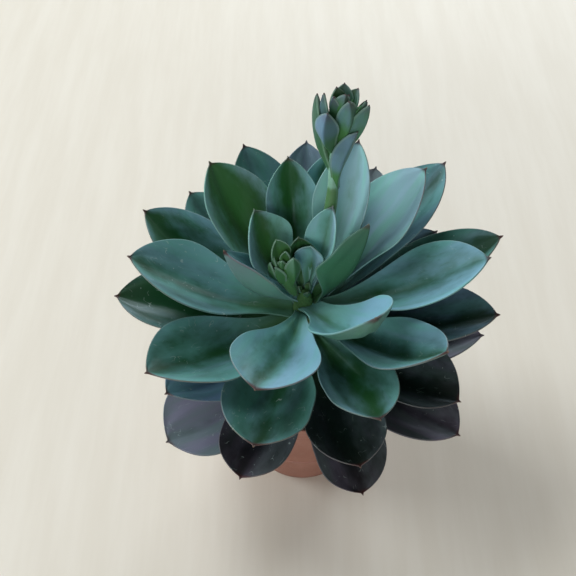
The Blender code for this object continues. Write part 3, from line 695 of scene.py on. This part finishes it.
def rounded(corners, radius, steps):
    """A profile with each inner corner rounded by a short curve."""
    corners = [np.array(c, float) for c in corners]
    out = [corners[0]]
    for before, corner, after in zip(corners, corners[1:], corners[2:]):
        start, end = part_way(corner, before, radius), part_way(corner, after, radius)
        for t in np.linspace(0, 1, steps):
            out.append(start * (1 - t) ** 2 + corner * 2 * t * (1 - t) + end * t * t)
    return out + [corners[-1]]


def pole_faces(circles, sides):
    """The faces of circles of points between a first and a last point, as on a globe."""
    faces = []
    last_circle = 1 + (circles - 1) * sides
    for k in range(sides):
        n = (k + 1) % sides
        faces.append((0, 1 + n, 1 + k))
        for i in range(circles - 1):
            a, b = 1 + i * sides + k, 1 + i * sides + n
            faces.append((a, b, b + sides, a + sides))
        faces.append((last_circle + k, last_circle + n, last_circle + sides))
    return faces


def lathe_mesh(profile, sides, stir=None):
    """The points and faces of a profile turned round +Z. Its first and last points lie on the axis."""
    points = [(0.0, 0.0, profile[0][1])]
    for radius, z in profile[1:-1]:
        for k in range(sides):
            angle = 2 * pi * k / sides
            out, lift = stir(radius, angle, z) if stir else (0.0, 0.0)
            points.append(round_axis(radius + out, angle, z + lift))
    points.append((0.0, 0.0, profile[-1][1]))
    return points, pole_faces(len(profile) - 2, sides)


# Pieces
def add_piece(name, verts, faces, material, replaces=()):
    """A mesh piece of the plant or its pot, riding on the one body."""
    mesh = bpy.data.meshes.new(name)
    mesh.from_pydata([tuple(v) for v in verts], [], faces)
    mesh.update()
    mesh.shade_smooth()
    mesh.materials.append(material)
    obj = bpy.data.objects.new(name, mesh)
    bpy.context.scene.collection.objects.link(obj)
    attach(obj, BODY)
    for node in replaces:
        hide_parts(node)
    return obj


def add_vectors(obj, name, values):
    """A vector for each point of the mesh, for its material to read."""
    layer = obj.data.attributes.new(name, "FLOAT_VECTOR", "POINT")
    layer.data.foreach_set("vector", np.array(values, np.float32).ravel())


def add_green(name, shape, nature, material, replaces=()):
    """A leaf, bract or stalk. Its nature is its age, bloom and blush."""
    verts, faces, place, edge = shape
    obj = add_piece(name, verts, faces, material, replaces)
    add_vectors(obj, "place", place)
    add_vectors(obj, "edge", edge)
    add_vectors(obj, "nature", [nature] * len(verts))


# Materials
class Value:
    """A number in a material's node tree. Sums, products and steps of it are further numbers."""

    def __init__(self, shade, socket):
        self.shade = shade
        self.socket = socket

    def __add__(self, other):
        return self.shade.math("ADD", self, other)

    def __sub__(self, other):
        return self.shade.math("SUBTRACT", self, other)

    def __mul__(self, other):
        return self.shade.math("MULTIPLY", self, other)

    def step(self, low, high, to_low=0, to_high=1):
        """A smooth step of the number between two limits."""
        values = enumerate((self, low, high, to_low, to_high))
        return self.shade.number("MapRange", values, interpolation_type="SMOOTHSTEP")


class Shade:
    """A material's node tree, built by short calls."""

    def __init__(self, name, roughness, **fixed):
        self.material = bpy.data.materials.new(name)
        self.material.use_nodes = True
        self.tree = self.material.node_tree
        self.shader = self.tree.nodes["Principled BSDF"]
        self.shader.inputs["Roughness"].default_value = roughness
        for socket, value in fixed.items():
            self.shader.inputs[socket.replace("_", " ")].default_value = value
        self.read()

    def read(self):
        """Reads the place in the frame, in metres."""
        self.place = self.node("TexCoord").outputs["Object"]
        self.height = self.numbers(self.place)[2]

    def put(self, value, socket):
        """Links a value or a socket, or sets a number or colour."""
        if isinstance(value, Value):
            value = value.socket
        if isinstance(value, bpy.types.NodeSocket):
            self.tree.links.new(value, socket)
        elif isinstance(value, tuple) and socket.type == "RGBA":
            socket.default_value = (*value, 1)
        else:
            socket.default_value = value

    def node(self, kind, values=(), **settings):
        """A new node with its settings, and with these values in its inputs."""
        node = self.tree.nodes.new("ShaderNode" + kind)
        for name, setting in settings.items():
            setattr(node, name, setting)
        for place, value in values:
            self.put(value, node.inputs[place])
        return node

    def number(self, kind, values, **settings):
        """The number that a new node gives first."""
        return Value(self, self.node(kind, values, **settings).outputs[0])

    def math(self, operation, *values):
        return self.number("Math", enumerate(values), operation=operation)

    def numbers(self, vector):
        """The three numbers of a vector."""
        return [Value(self, socket) for socket in self.node("SeparateXYZ", [(0, vector)]).outputs]

    def vector(self, name):
        """The vector attribute of this name, and its three numbers."""
        vector = self.node("Attribute", attribute_name=name).outputs["Vector"]
        return vector, *self.numbers(vector)

    def mix(self, share, a, b, kind="MIX"):
        """A mix of two colours."""
        values = ((0, share), (6, a), (7, b))
        return self.node("Mix", values, data_type="RGBA", blend_type=kind).outputs[2]

    def ramp(self, value, stops):
        """A colour that follows a value through stops of (place, colour)."""
        node = self.node("ValToRGB", [(0, value)])
        elements = node.color_ramp.elements
        while len(elements) < len(stops):
            elements.new(0.5)
        for element, (place, colour) in zip(elements, stops):
            element.position = place
            element.color = (*colour, 1)
        return node.outputs[0]

    def noise(self, scale, detail=2, roughness=0.5):
        """Cloudy noise about 0.5. Its scale is one number, or three that stretch it."""
        place = self.place
        if isinstance(scale, tuple):
            place = self.node("VectorMath", [(0, place), (1, scale)], operation="MULTIPLY").outputs[0]
            scale = 1
        values = (("Vector", place), ("Scale", scale), ("Detail", detail), ("Roughness", roughness))
        return self.number("TexNoise", values)

    def cells(self, scale):
        """The distance to the nearest of many scattered points."""
        return self.number("TexVoronoi", (("Vector", self.place), ("Scale", scale)))

    def finish(self, colour, roughness, height, distance):
        """The surface's colour and roughness, and its relief in metres."""
        bump = self.node("Bump", (("Distance", distance), ("Height", height)))
        self.put(colour, self.shader.inputs["Base Color"])
        self.put(roughness, self.shader.inputs["Roughness"])
        self.put(bump.outputs[0], self.shader.inputs["Normal"])
        return self.material


class BladeShade(Shade):
    """The material of a leaf, bract or stalk."""

    def read(self):
        """Reads the place on the blade and the way to its edges, in millimetres, and its nature."""
        self.place, self.across, self.along, self.seed = self.vector("place")
        _, self.margin, self.from_tip, self.under = self.vector("edge")
        _, self.age, self.bloom, self.blush = self.vector("nature")


def leaf_bloom_and_painted_shade(leaf):
    """How thick the bloom lies on a leaf, from 0 to 1, thinned where shade is painted."""
    bloom_and_painted_shade = leaf.bloom + (leaf.noise((0.09, 0.045, 3.1), 3, 0.6) - 0.5) * 1.1
    # Painted shade: it is thin in the channel along the midrib, which wanders, so the dark flesh shows there as
    # the channel's shadow
    wander = (leaf.noise((0.04, 0.09, 2.3)) - 0.5) * 9
    bloom_and_painted_shade += leaf.math("ABSOLUTE", leaf.across + wander).step(0, 8, -0.34, 0.08)
    # It is thick at the margins, and more so on a young leaf
    bloom_and_painted_shade += leaf.margin.step(7, 0.5) * leaf.age.step(0.4, 0.85, 0.35, 0.05)
    # Painted shade: the smallest leaves have little at the foot, so their lower part shows dark as if in shadow
    bloom_and_painted_shade -= (leaf.along + leaf.from_tip).step(45, 34) * leaf.along.step(20, 8, 0, 0.9)
    # Painted light and shade: one half of a leaf has more than the other, so it reads as a lit half and a
    # shaded half; and it is rubbed off in patches
    bloom_and_painted_shade += leaf.math("SINE", leaf.seed * 2.7) * leaf.across.step(-2, 2, -0.14, 0.14)
    bloom_and_painted_shade -= leaf.noise((0.5, 0.16, 5.3), 4, 0.65).step(0.5, 0.75, 0, 0.13)
    return bloom_and_painted_shade.step(-0.1, 1.1)


def leaf_skin(leaf, bloom_and_painted_shade):
    """The colour of a leaf's faces."""
    colour = leaf.mix(bloom_and_painted_shade, leaf.ramp(leaf.age, FLESH), leaf.ramp(leaf.age, WAX))
    # Streaks of greener and of more violet skin
    cast = leaf.mix(leaf.noise((0.12, 0.02, 7.7)).step(0.36, 0.64), GREEN_CAST, VIOLET_CAST)
    colour = leaf.mix(1, colour, cast, "MULTIPLY")
    # Yellow-green where the leaf meets the stem, and a paler, duller underside
    foot = leaf.along.step(36, 4) * leaf.age.step(0.1, 0.3, 0.1, 0.55) * leaf.age.step(0.5, 1, 1, 0.4)
    colour = leaf.mix(foot, colour, LEAF_FOOT)
    colour = leaf.mix(leaf.under.step(0.6, 1, 0, 0.8), colour, leaf.ramp(leaf.age, UNDERSIDE))
    # A blush towards the tip, stronger below
    flush = leaf.blush * leaf.from_tip.step(26, 3) * leaf.under.step(0.4, 1, 0.1, 0.4)
    return leaf.mix(flush, colour, leaf.ramp(leaf.age, BLUSH))


def leaf_edge(leaf, colour):
    """The colour with its rim, pale on top partly as a painted highlight, red-brown outside where it blushes,
    and its brown point.
    """
    red = leaf.blush.step(0.35, 0.8) * leaf.from_tip.step(56, 8) * leaf.age.step(0.6, 0.85, 1, 0.35)
    rim = leaf.mix(red, leaf.ramp(leaf.age, RIM), RED_RIM)
    outer = leaf.margin.step(0.2, 0.04) * leaf.under.step(0.15, 0.4)
    # Partly painted highlight: a pale line along the upper face's margin, over the real pale edge of young
    # leaves
    pale = leaf.margin.step(0.55, 0.1) * leaf.under.step(0.3, 0.1, 0, 0.3) * leaf.age.step(0.3, 0.8, 1, 0.15)
    colour = leaf.mix(pale, colour, leaf.mix(0.4, colour, PALE_EDGE_AND_HIGHLIGHT))
    colour = leaf.mix(outer * 0.6, colour, rim)
    spine = leaf.mix(leaf.from_tip.step(0.9, 0.1), SPINE_LOW, SPINE_END)
    return leaf.mix(leaf.from_tip.step(3.6, 1.4) * leaf.blush.step(0, 0.5, 0.25, 0.9), colour, spine)


def leaf_marks(leaf, colour):
    """The colour with dust specks and faint curved scratches, more on the older leaves."""
    specks = leaf.cells(0.3).step(0.12, 0.05) * leaf.noise(0.17).step(0.5, 0.62)
    specks *= leaf.age.step(0.1, 0.5, 0.1, 0.5)
    lines = leaf.math("ABSOLUTE", leaf.noise((0.25, 0.14, 4.1), 1) - 0.5).step(0.011, 0.003)
    where = leaf.noise((0.2, 0.2, 1.3), 1).step(0.58, 0.66, 0, 0.4)
    scratches = lines * (where * leaf.age.step(0.1, 0.5))
    return leaf.mix(leaf.math("MAXIMUM", specks, scratches), colour, DUST)


def leaf_material():
    """Fleshy leaf: green under a rubbed blue-grey bloom with painted shade in it, with its edges, its point and
    its marks.
    """
    leaf = BladeShade("leaf", 0.45, Sheen_Tint=(0.5, 0.85, 1, 1), **WAXY)
    bloom_and_painted_shade = leaf_bloom_and_painted_shade(leaf)
    colour = leaf_marks(leaf, leaf_edge(leaf, leaf_skin(leaf, bloom_and_painted_shade)))
    grain = leaf.noise(2.6, 3, 0.6)
    roughness = bloom_and_painted_shade.step(0, 1, 0.32, 0.5) + grain * 0.08 - leaf.age.step(0.5, 1, 0, 0.06)
    return leaf.finish(colour, roughness, grain * 0.1 + leaf.noise((0.16, 0.05, 2)), 0.5 * MM)


def bract_material():
    """Bract: yellow-green foot, violet-blue bloom towards its end, a painted lit half and shaded half, pale
    margin and dark point.
    """
    bract = BladeShade("bract", 0.5, Sheen_Tint=(0.6, 0.75, 1, 1), **WAXY)
    bloom_and_painted_shade = bract.bloom + (bract.noise((0.3, 0.12, 3.1), 3, 0.6) - 0.5) * 0.7
    bloom_and_painted_shade += bract.along.step(3, 14, -0.8, 0.15)
    # Painted light: more bloom on the half that faces the window, so that half reads lit
    bloom_and_painted_shade += bract.across.step(-1.2, 0.8, -0.25, 0.15)
    bloom_and_painted_shade = bloom_and_painted_shade.step(-0.1, 1.1)
    bloom = bract.mix(bract.blush.step(0, 0.4), BRACT_GREEN_BLOOM, BRACT_BLUE_BLOOM)
    outside = bract.mix(bloom_and_painted_shade, BRACT_OUTSIDE, bloom)
    # Painted shade: the half that faces away from the window is darkened, as if in shadow
    shaded_bract_half = bract.across.step(0.6, -0.9) * bract.blush.step(0, 0.5, 0.2, 0.45)
    outside = bract.mix(shaded_bract_half, outside, BRACT_PAINTED_SHADE)
    inside = bract.mix(bloom_and_painted_shade, BRACT_INSIDE, BRACT_INSIDE_BLOOM)
    colour = bract.mix(bract.under.step(0.2, 0.8), inside, outside)
    colour = bract.mix(bract.from_tip.step(6, 1) * bract.blush.step(0, 1, 0.1, 0.8), colour, BRACT_END)
    colour = bract.mix(bract.margin.step(0.45, 0.1) * bract.blush.step(0, 1, 0.5, 0.15), colour, BRACT_MARGIN)
    colour = bract.mix(bract.from_tip.step(1.1, 0.3) * bract.blush.step(0, 0.4), colour, BRACT_POINT)
    grain = bract.noise(2.6, 3, 0.6)
    roughness = bloom_and_painted_shade.step(0, 1, 0.38, 0.52) + grain * 0.08
    return bract.finish(colour, roughness, grain * 0.15 + bract.noise((0.5, 0.12, 2)), 0.3 * MM)


def stalk_material():
    """Green flesh, paler above the first bract, with a light powdery bloom."""
    stalk = BladeShade("stalk", 0.5, Sheen_Weight=0.25, Sheen_Roughness=0.4, Sheen_Tint=(0.7, 0.9, 1, 1))
    tone = stalk.noise((0.25, 0.12, 2), 3, 0.6).step(0.3, 0.7, 0, 0.4)
    tone += stalk.along.step(STALK_GREEN, STALK_PALE, -0.3, 0.6)
    colour = stalk.mix(tone.step(0, 1), STALK_LOW, STALK_HIGH)
    return stalk.finish(colour, tone.step(0, 1, 0.42, 0.58), stalk.noise(2.2), 0.1 * MM)


def stem_material():
    """Old stem: brown green, with paler leaf scars and cracks, and green at its young top."""
    stem = Shade("stem", 0.8)
    patches = stem.noise(140, 4, 0.65)
    grain = stem.noise((900, 900, 2600), 3)
    colour = stem.mix(patches.step(0.35, 0.65), STEM_GREEN, STEM_BROWN)
    colour = stem.mix(grain.step(0.45, 0.75, 0, 0.5), colour, STEM_CRACK)
    colour = stem.mix(stem.height.step(STEM_YOUNG_FROM, STEM_YOUNG_TO), colour, STEM_YOUNG)
    return stem.finish(colour, 0.8, patches + grain, 0.4 * MM)


def soil_material():
    """Dark potting mix with paler fibres."""
    soil = Shade("soil", 0.95)
    lumps = soil.noise(420, 5, 0.7)
    return soil.finish(soil.ramp(lumps, SOIL_TONES), lumps.step(0.3, 0.8, 0.8, 0.98), lumps, 1.2 * MM)


def crumb_material():
    """Bark chips and crumbs on the soil."""
    chip = Shade("crumb", 0.9)
    grain = chip.noise(1800, 3)
    colour = chip.mix(grain.step(0.4, 0.7, 0, 0.5), chip.ramp(chip.noise(120, 1), CRUMB_TONES), CRUMB_DARK)
    return chip.finish(colour, 0.9, grain, 0.3 * MM)


def pot_material():
    """Moulded terracotta-coloured plastic with fine turned rings, scuffs and a little dust."""
    pot = Shade("pot", 0.5)
    patches = pot.noise(60, 4, 0.6)
    colour = pot.mix(patches.step(0.35, 0.7), POT_TONE, POT_PALE)
    colour = pot.mix(pot.noise((500, 500, 160), 4, 0.7).step(0.52, 0.8, 0, 0.35), colour, POT_DUST)
    rings = pot.math("SINE", pot.height * (2 * pi / POT_RING_PITCH))
    return pot.finish(colour, patches * 0.2 + 0.42, rings * 0.25 + pot.noise(2500) * 0.15, 0.25 * MM)


def floor_material():
    """Plain pale floor with a faint grain."""
    floor = Shade("floor", 0.6)
    grain = floor.noise((70, 7, 1), 4, 0.6)
    return floor.finish(floor.mix(grain.step(0.3, 0.75), FLOOR_TONE, FLOOR_PALE), 0.6, grain, 0.05 * MM)


# Parts
def make_leaves(material):
    """Every leaf of the table, in the place of its solid."""
    for number, row in enumerate(LEAVES, 1):
        node = f"leaf_{number:02d}"
        add_green(f"fine_{node}", blade_mesh(leaf_blade(row), number), row[9], material, (node,))


def make_crown(material):
    """Small leaves folded round the growing tip."""
    for k, (heading, rise, length, width) in enumerate(CROWN_LEAVES):
        way = np.array(round_axis(cos(radians(rise)), radians(heading), sin(radians(rise))))
        root = np.array(round_axis(CROWN_OUT, radians(heading), STEM_TOP - CROWN_DROP)) / MM
        blade = bract_blade((root, root + way * length, width, heading, CROWN_BOW, CROWN_CUP))
        shape = blade_mesh(blade, CROWN_SEED + k)
        add_green(f"crown_leaf_{k + 1}", shape, CROWN_NATURE, material)


def make_sprig(name, path, bracts, age, blush, skin, flesh):
    """A stalk and its bracts."""
    line = [np.array(point) * MM for point, _ in path]
    radii = [radius * MM for _, radius in path]
    tube = tube_mesh(line, radii, STALK_SIDES, STALK_SEED)
    add_green(f"fine_{name}", tube, STALK_NATURE, flesh, (name,))
    for k, row in enumerate(bracts):
        shape = blade_mesh(bract_blade(row), BRACT_SEED + k)
        add_green(f"{name}_bract_{k + 1:02d}", shape, (age, row[6], blush), skin)


def bud_fullness(share):
    """A bud's radius at a share of its length, in shares of its greatest."""
    turn = pi * min(1, BUD_START + (1 - BUD_START) * share)
    return max(BUD_END, sin(turn) ** BUD_POWER)


def make_buds(name, buds, nature, material):
    """Closed buds between the bracts."""
    shares = np.linspace(0, 1, BUD_RINGS)
    for k, (foot, tip, thick) in enumerate(buds):
        foot, tip = np.array(foot) * MM, np.array(tip) * MM
        line = [foot + (tip - foot) * share for share in shares]
        radii = [thick * MM / 2 * bud_fullness(share) for share in shares]
        add_green(f"{name}_{k + 1}", tube_mesh(line, radii, BUD_SIDES, BUD_SEED + k), nature, material)


def leaf_scars(radius, angle, z):
    """How far the stem's skin stands out: crescents where old leaves grew, on a spiral."""
    rows = (z / SCAR_RISE + SCAR_TURNS * angle / (2 * pi)) % 1
    columns = cos(SCAR_COLUMNS * angle - z / SCAR_SLANT)
    return SCAR_RELIEF * sin(pi * rows) ** 3 * (0.5 + 0.5 * columns), 0.0


def make_stem(material):
    """The trunk, from inside the soil up to its blunt top."""
    heights = [SOIL_TOP - STEM_DEPTH, *np.linspace(SOIL_TOP - 2 * MM, STEM_TOP - 1 * MM, STEM_RINGS)]
    profile = [(0, heights[0]), *[(stem_radius(z) - STEM_SKIN, z) for z in heights]]
    profile += [(0.6 * STEM_TOP_RADIUS, STEM_TOP - 0.4 * MM), (0, STEM_TOP - 0.2 * MM)]
    verts, faces = lathe_mesh(profile, STEM_SIDES, leaf_scars)
    add_piece("fine_stem", verts, faces, material, ("stem",))


def wall_radius(z):
    """The radius of the pot's inner wall at a height below its rim band."""
    return POT_BASE_RADIUS + WALL_SLOPE * z - POT_WALL


def pot_corners():
    """The pot's profile, from the middle of its base round its rim to the middle of its floor."""
    return (
        (0, 0),
        (POT_BASE_RADIUS, 0),
        (POT_BASE_RADIUS + WALL_SLOPE * POT_STEP_HEIGHT + POT_STEP, POT_STEP_HEIGHT - POT_STEP),
        (POT_BASE_RADIUS + WALL_SLOPE * POT_STEP_HEIGHT, POT_STEP_HEIGHT),
        (POT_RIM_RADIUS - RIM_STEP, POT_HEIGHT - RIM_BAND),
        (POT_RIM_RADIUS, POT_HEIGHT - RIM_BAND),
        (POT_RIM_RADIUS, POT_HEIGHT),
        (POT_RIM_RADIUS - POT_WALL, POT_HEIGHT),
        (wall_radius(POT_HEIGHT - RIM_BAND), POT_HEIGHT - RIM_BAND),
        (wall_radius(POT_FLOOR), POT_FLOOR),
        (0, POT_FLOOR),
    )


def add_drills():
    """A ring of cylinders where the drain holes go, in a collection of their own."""
    drills = bpy.data.collections.new("drills")
    bpy.context.scene.collection.children.link(drills)
    for k in range(DRAIN_HOLES):
        angle = 2 * pi * k / DRAIN_HOLES
        bpy.ops.mesh.primitive_cylinder_add(vertices=DRAIN_SIDES, radius=DRAIN_RADIUS, depth=6 * POT_FLOOR)
        drill = bpy.context.object
        drill.location = round_axis(DRAIN_CIRCLE, angle, 0)
        for group in list(drill.users_collection):
            group.objects.unlink(drill)
        drills.objects.link(drill)
    return drills


def make_pot(material):
    """The pot, with its drain holes cut out."""
    verts, faces = lathe_mesh(rounded(pot_corners(), POT_EDGE, POT_EDGE_POINTS), POT_SIDES)
    pot = add_piece("fine_pot", verts, faces, material, ("pot",))
    drills = add_drills()
    cut = pot.modifiers.new("drain", "BOOLEAN")
    cut.operation = "DIFFERENCE"
    cut.operand_type = "COLLECTION"
    cut.collection = drills
    bpy.context.view_layer.update()
    graph = bpy.context.evaluated_depsgraph_get()
    pot.data = bpy.data.meshes.new_from_object(pot.evaluated_get(graph))
    pot.modifiers.clear()
    pot.data.shade_smooth()
    pot.data.set_sharp_from_angle(angle=radians(POT_SHARP_ANGLE))
    for drill in list(drills.objects):
        bpy.data.objects.remove(drill)
    bpy.data.collections.remove(drills)


def soil_lift(radius, angle, z):
    """How far the soil's surface stands above or below its own level."""
    if z < SOIL_TOP - 1 * MM:
        return 0.0, 0.0
    x, y = radius * cos(angle) / MM, radius * sin(angle) / MM
    by_x, by_y, shift = SOIL_SWELL
    lift = sin(by_x * x + shift) * sin(by_y * y)
    lift += sum(size * sin(by_x * x + by_y * y) for size, by_x, by_y in SOIL_RIPPLES)
    return 0.0, SOIL_RELIEF * lift


def make_soil(material):
    """The potting mix, with a rough top."""
    low = POT_FLOOR + SOIL_CLEAR
    wall = wall_radius(SOIL_TOP) - SEAT_GAP
    profile = [(0, low), (wall_radius(low) - SEAT_GAP, low), (wall, SOIL_TOP - SOIL_WALL)]
    profile += [(radius, SOIL_TOP) for radius in np.linspace(wall, STEM_RADIUS - 1 * MM, SOIL_RINGS)]
    verts, faces = lathe_mesh(profile + [(0, SOIL_TOP)], SOIL_SIDES, soil_lift)
    add_piece("fine_soil", verts, faces, material, ("soil",))


def crumb(draw):
    """One rough lump of radius one: a ball of rings, pushed in and out."""
    verts = [(0, 0, -1)]
    for i in range(1, CRUMB_RINGS + 1):
        lean = pi * (i / (CRUMB_RINGS + 1) - 0.5)
        for k in range(CRUMB_SIDES):
            angle = 2 * pi * k / CRUMB_SIDES
            size = draw.uniform(*CRUMB_ROUGHNESS)
            verts.append(round_axis(size * cos(lean), angle, size * sin(lean)))
    verts.append((0, 0, 1))
    return np.array(verts, float), pole_faces(CRUMB_RINGS, CRUMB_SIDES)


def make_crumbs(material):
    """Chips and crumbs scattered over the soil, as one piece."""
    draw = np.random.RandomState(CRUMB_SEED)
    nearest, farthest = STEM_RADIUS + 1 * MM, wall_radius(SOIL_TOP) - CRUMB_MARGIN
    verts = []
    faces = []
    for _ in range(CRUMBS):
        reach = sqrt(draw.uniform(nearest**2, farthest**2))
        angle = draw.uniform(0, 2 * pi)
        size = draw.uniform(*CRUMB_SIZES)
        lift = soil_lift(reach, angle, SOIL_TOP)[1] + CRUMB_RAISED * size
        centre = round_axis(reach, angle, SOIL_TOP + lift)
        spread = np.array([1.0, draw.uniform(*CRUMB_WIDTHS), draw.uniform(*CRUMB_HEIGHTS)]) * size
        spin = draw.uniform(0, pi)
        corners, sides = crumb(draw)
        corners = corners * spread
        x = corners[:, 0] * cos(spin) - corners[:, 1] * sin(spin)
        y = corners[:, 0] * sin(spin) + corners[:, 1] * cos(spin)
        base = len(verts)
        verts += [tuple(c) for c in np.stack([x, y, corners[:, 2]], 1) + centre]
        faces += [tuple(base + k for k in side) for side in sides]
    add_piece("soil_crumbs", verts, faces, material)


# Stage, light and camera
def make_stage():
    """A wide flat floor under the pot."""
    mesh = bpy.data.meshes.new("floor")
    corners = [(x * FLOOR_HALF, y * FLOOR_HALF, 0) for x, y in ((-1, -1), (1, -1), (1, 1), (-1, 1))]
    mesh.from_pydata(corners, [], [(0, 1, 2, 3)])
    floor = bpy.data.objects.new("floor", mesh)
    bpy.context.scene.collection.objects.link(floor)
    mesh.materials.append(floor_material())


def add_light(name, place, size, power, colour):
    """A rectangular light that points at the plant and doesn't show itself."""
    light = bpy.data.lights.new(name, "AREA")
    light.shape = "RECTANGLE"
    light.size, light.size_y = size
    light.energy = power
    light.color = colour
    obj = bpy.data.objects.new(name, light)
    obj.location = place
    heading, rise = heading_and_rise(np.array(LIGHT_AIM) - np.array(place))
    obj.rotation_euler = (pi / 2 + rise, 0, heading - pi / 2)
    obj.visible_camera = False
    bpy.context.scene.collection.objects.link(obj)


def make_lights():
    """The lights of the table, and the light of the room itself."""
    for row in LIGHTS:
        add_light(*row)
    world = bpy.data.worlds.new("world")
    bpy.context.scene.world = world
    world.use_nodes = True
    background = world.node_tree.nodes["Background"]
    background.inputs["Color"].default_value = ROOM_LIGHT
    background.inputs["Strength"].default_value = ROOM_STRENGTH


def make_camera():
    """The photograph's own view, from the front and above."""
    data = bpy.data.cameras.new("camera")
    data.lens = LENS
    data.sensor_width = SENSOR
    camera = bpy.data.objects.new("camera", data)
    lean = radians(DEPRESSION)
    back = np.array([0, -cos(lean), sin(lean)])
    camera.location = np.array(LOOK_AT) + back * CAMERA_DISTANCE
    camera.rotation_euler = (pi / 2 - lean, 0, 0)
    bpy.context.scene.collection.objects.link(camera)
    bpy.context.scene.camera = camera
    bpy.context.scene.view_settings.view_transform = "Standard"


def main():
    leaf = leaf_material()
    bract = bract_material()
    flesh = stalk_material()
    make_leaves(leaf)
    make_crown(leaf)
    make_sprig("flower_stalk", STALK, STALK_BRACTS, STALK_BRACT_AGE, STALK_BRACT_BLUSH, bract, flesh)
    make_buds("bud", BUDS, BUD_NATURE, bract)
    make_buds("shoot_bud", SHOOT_BUDS, SHOOT_BUD_NATURE, bract)
    make_sprig("young_shoot", SHOOT, SHOOT_BRACTS, SHOOT_BRACT_AGE, SHOOT_BRACT_BLUSH, bract, flesh)
    make_stem(stem_material())
    make_soil(soil_material())
    make_crumbs(crumb_material())
    make_pot(pot_material())
    make_stage()
    make_lights()
    make_camera()


main()
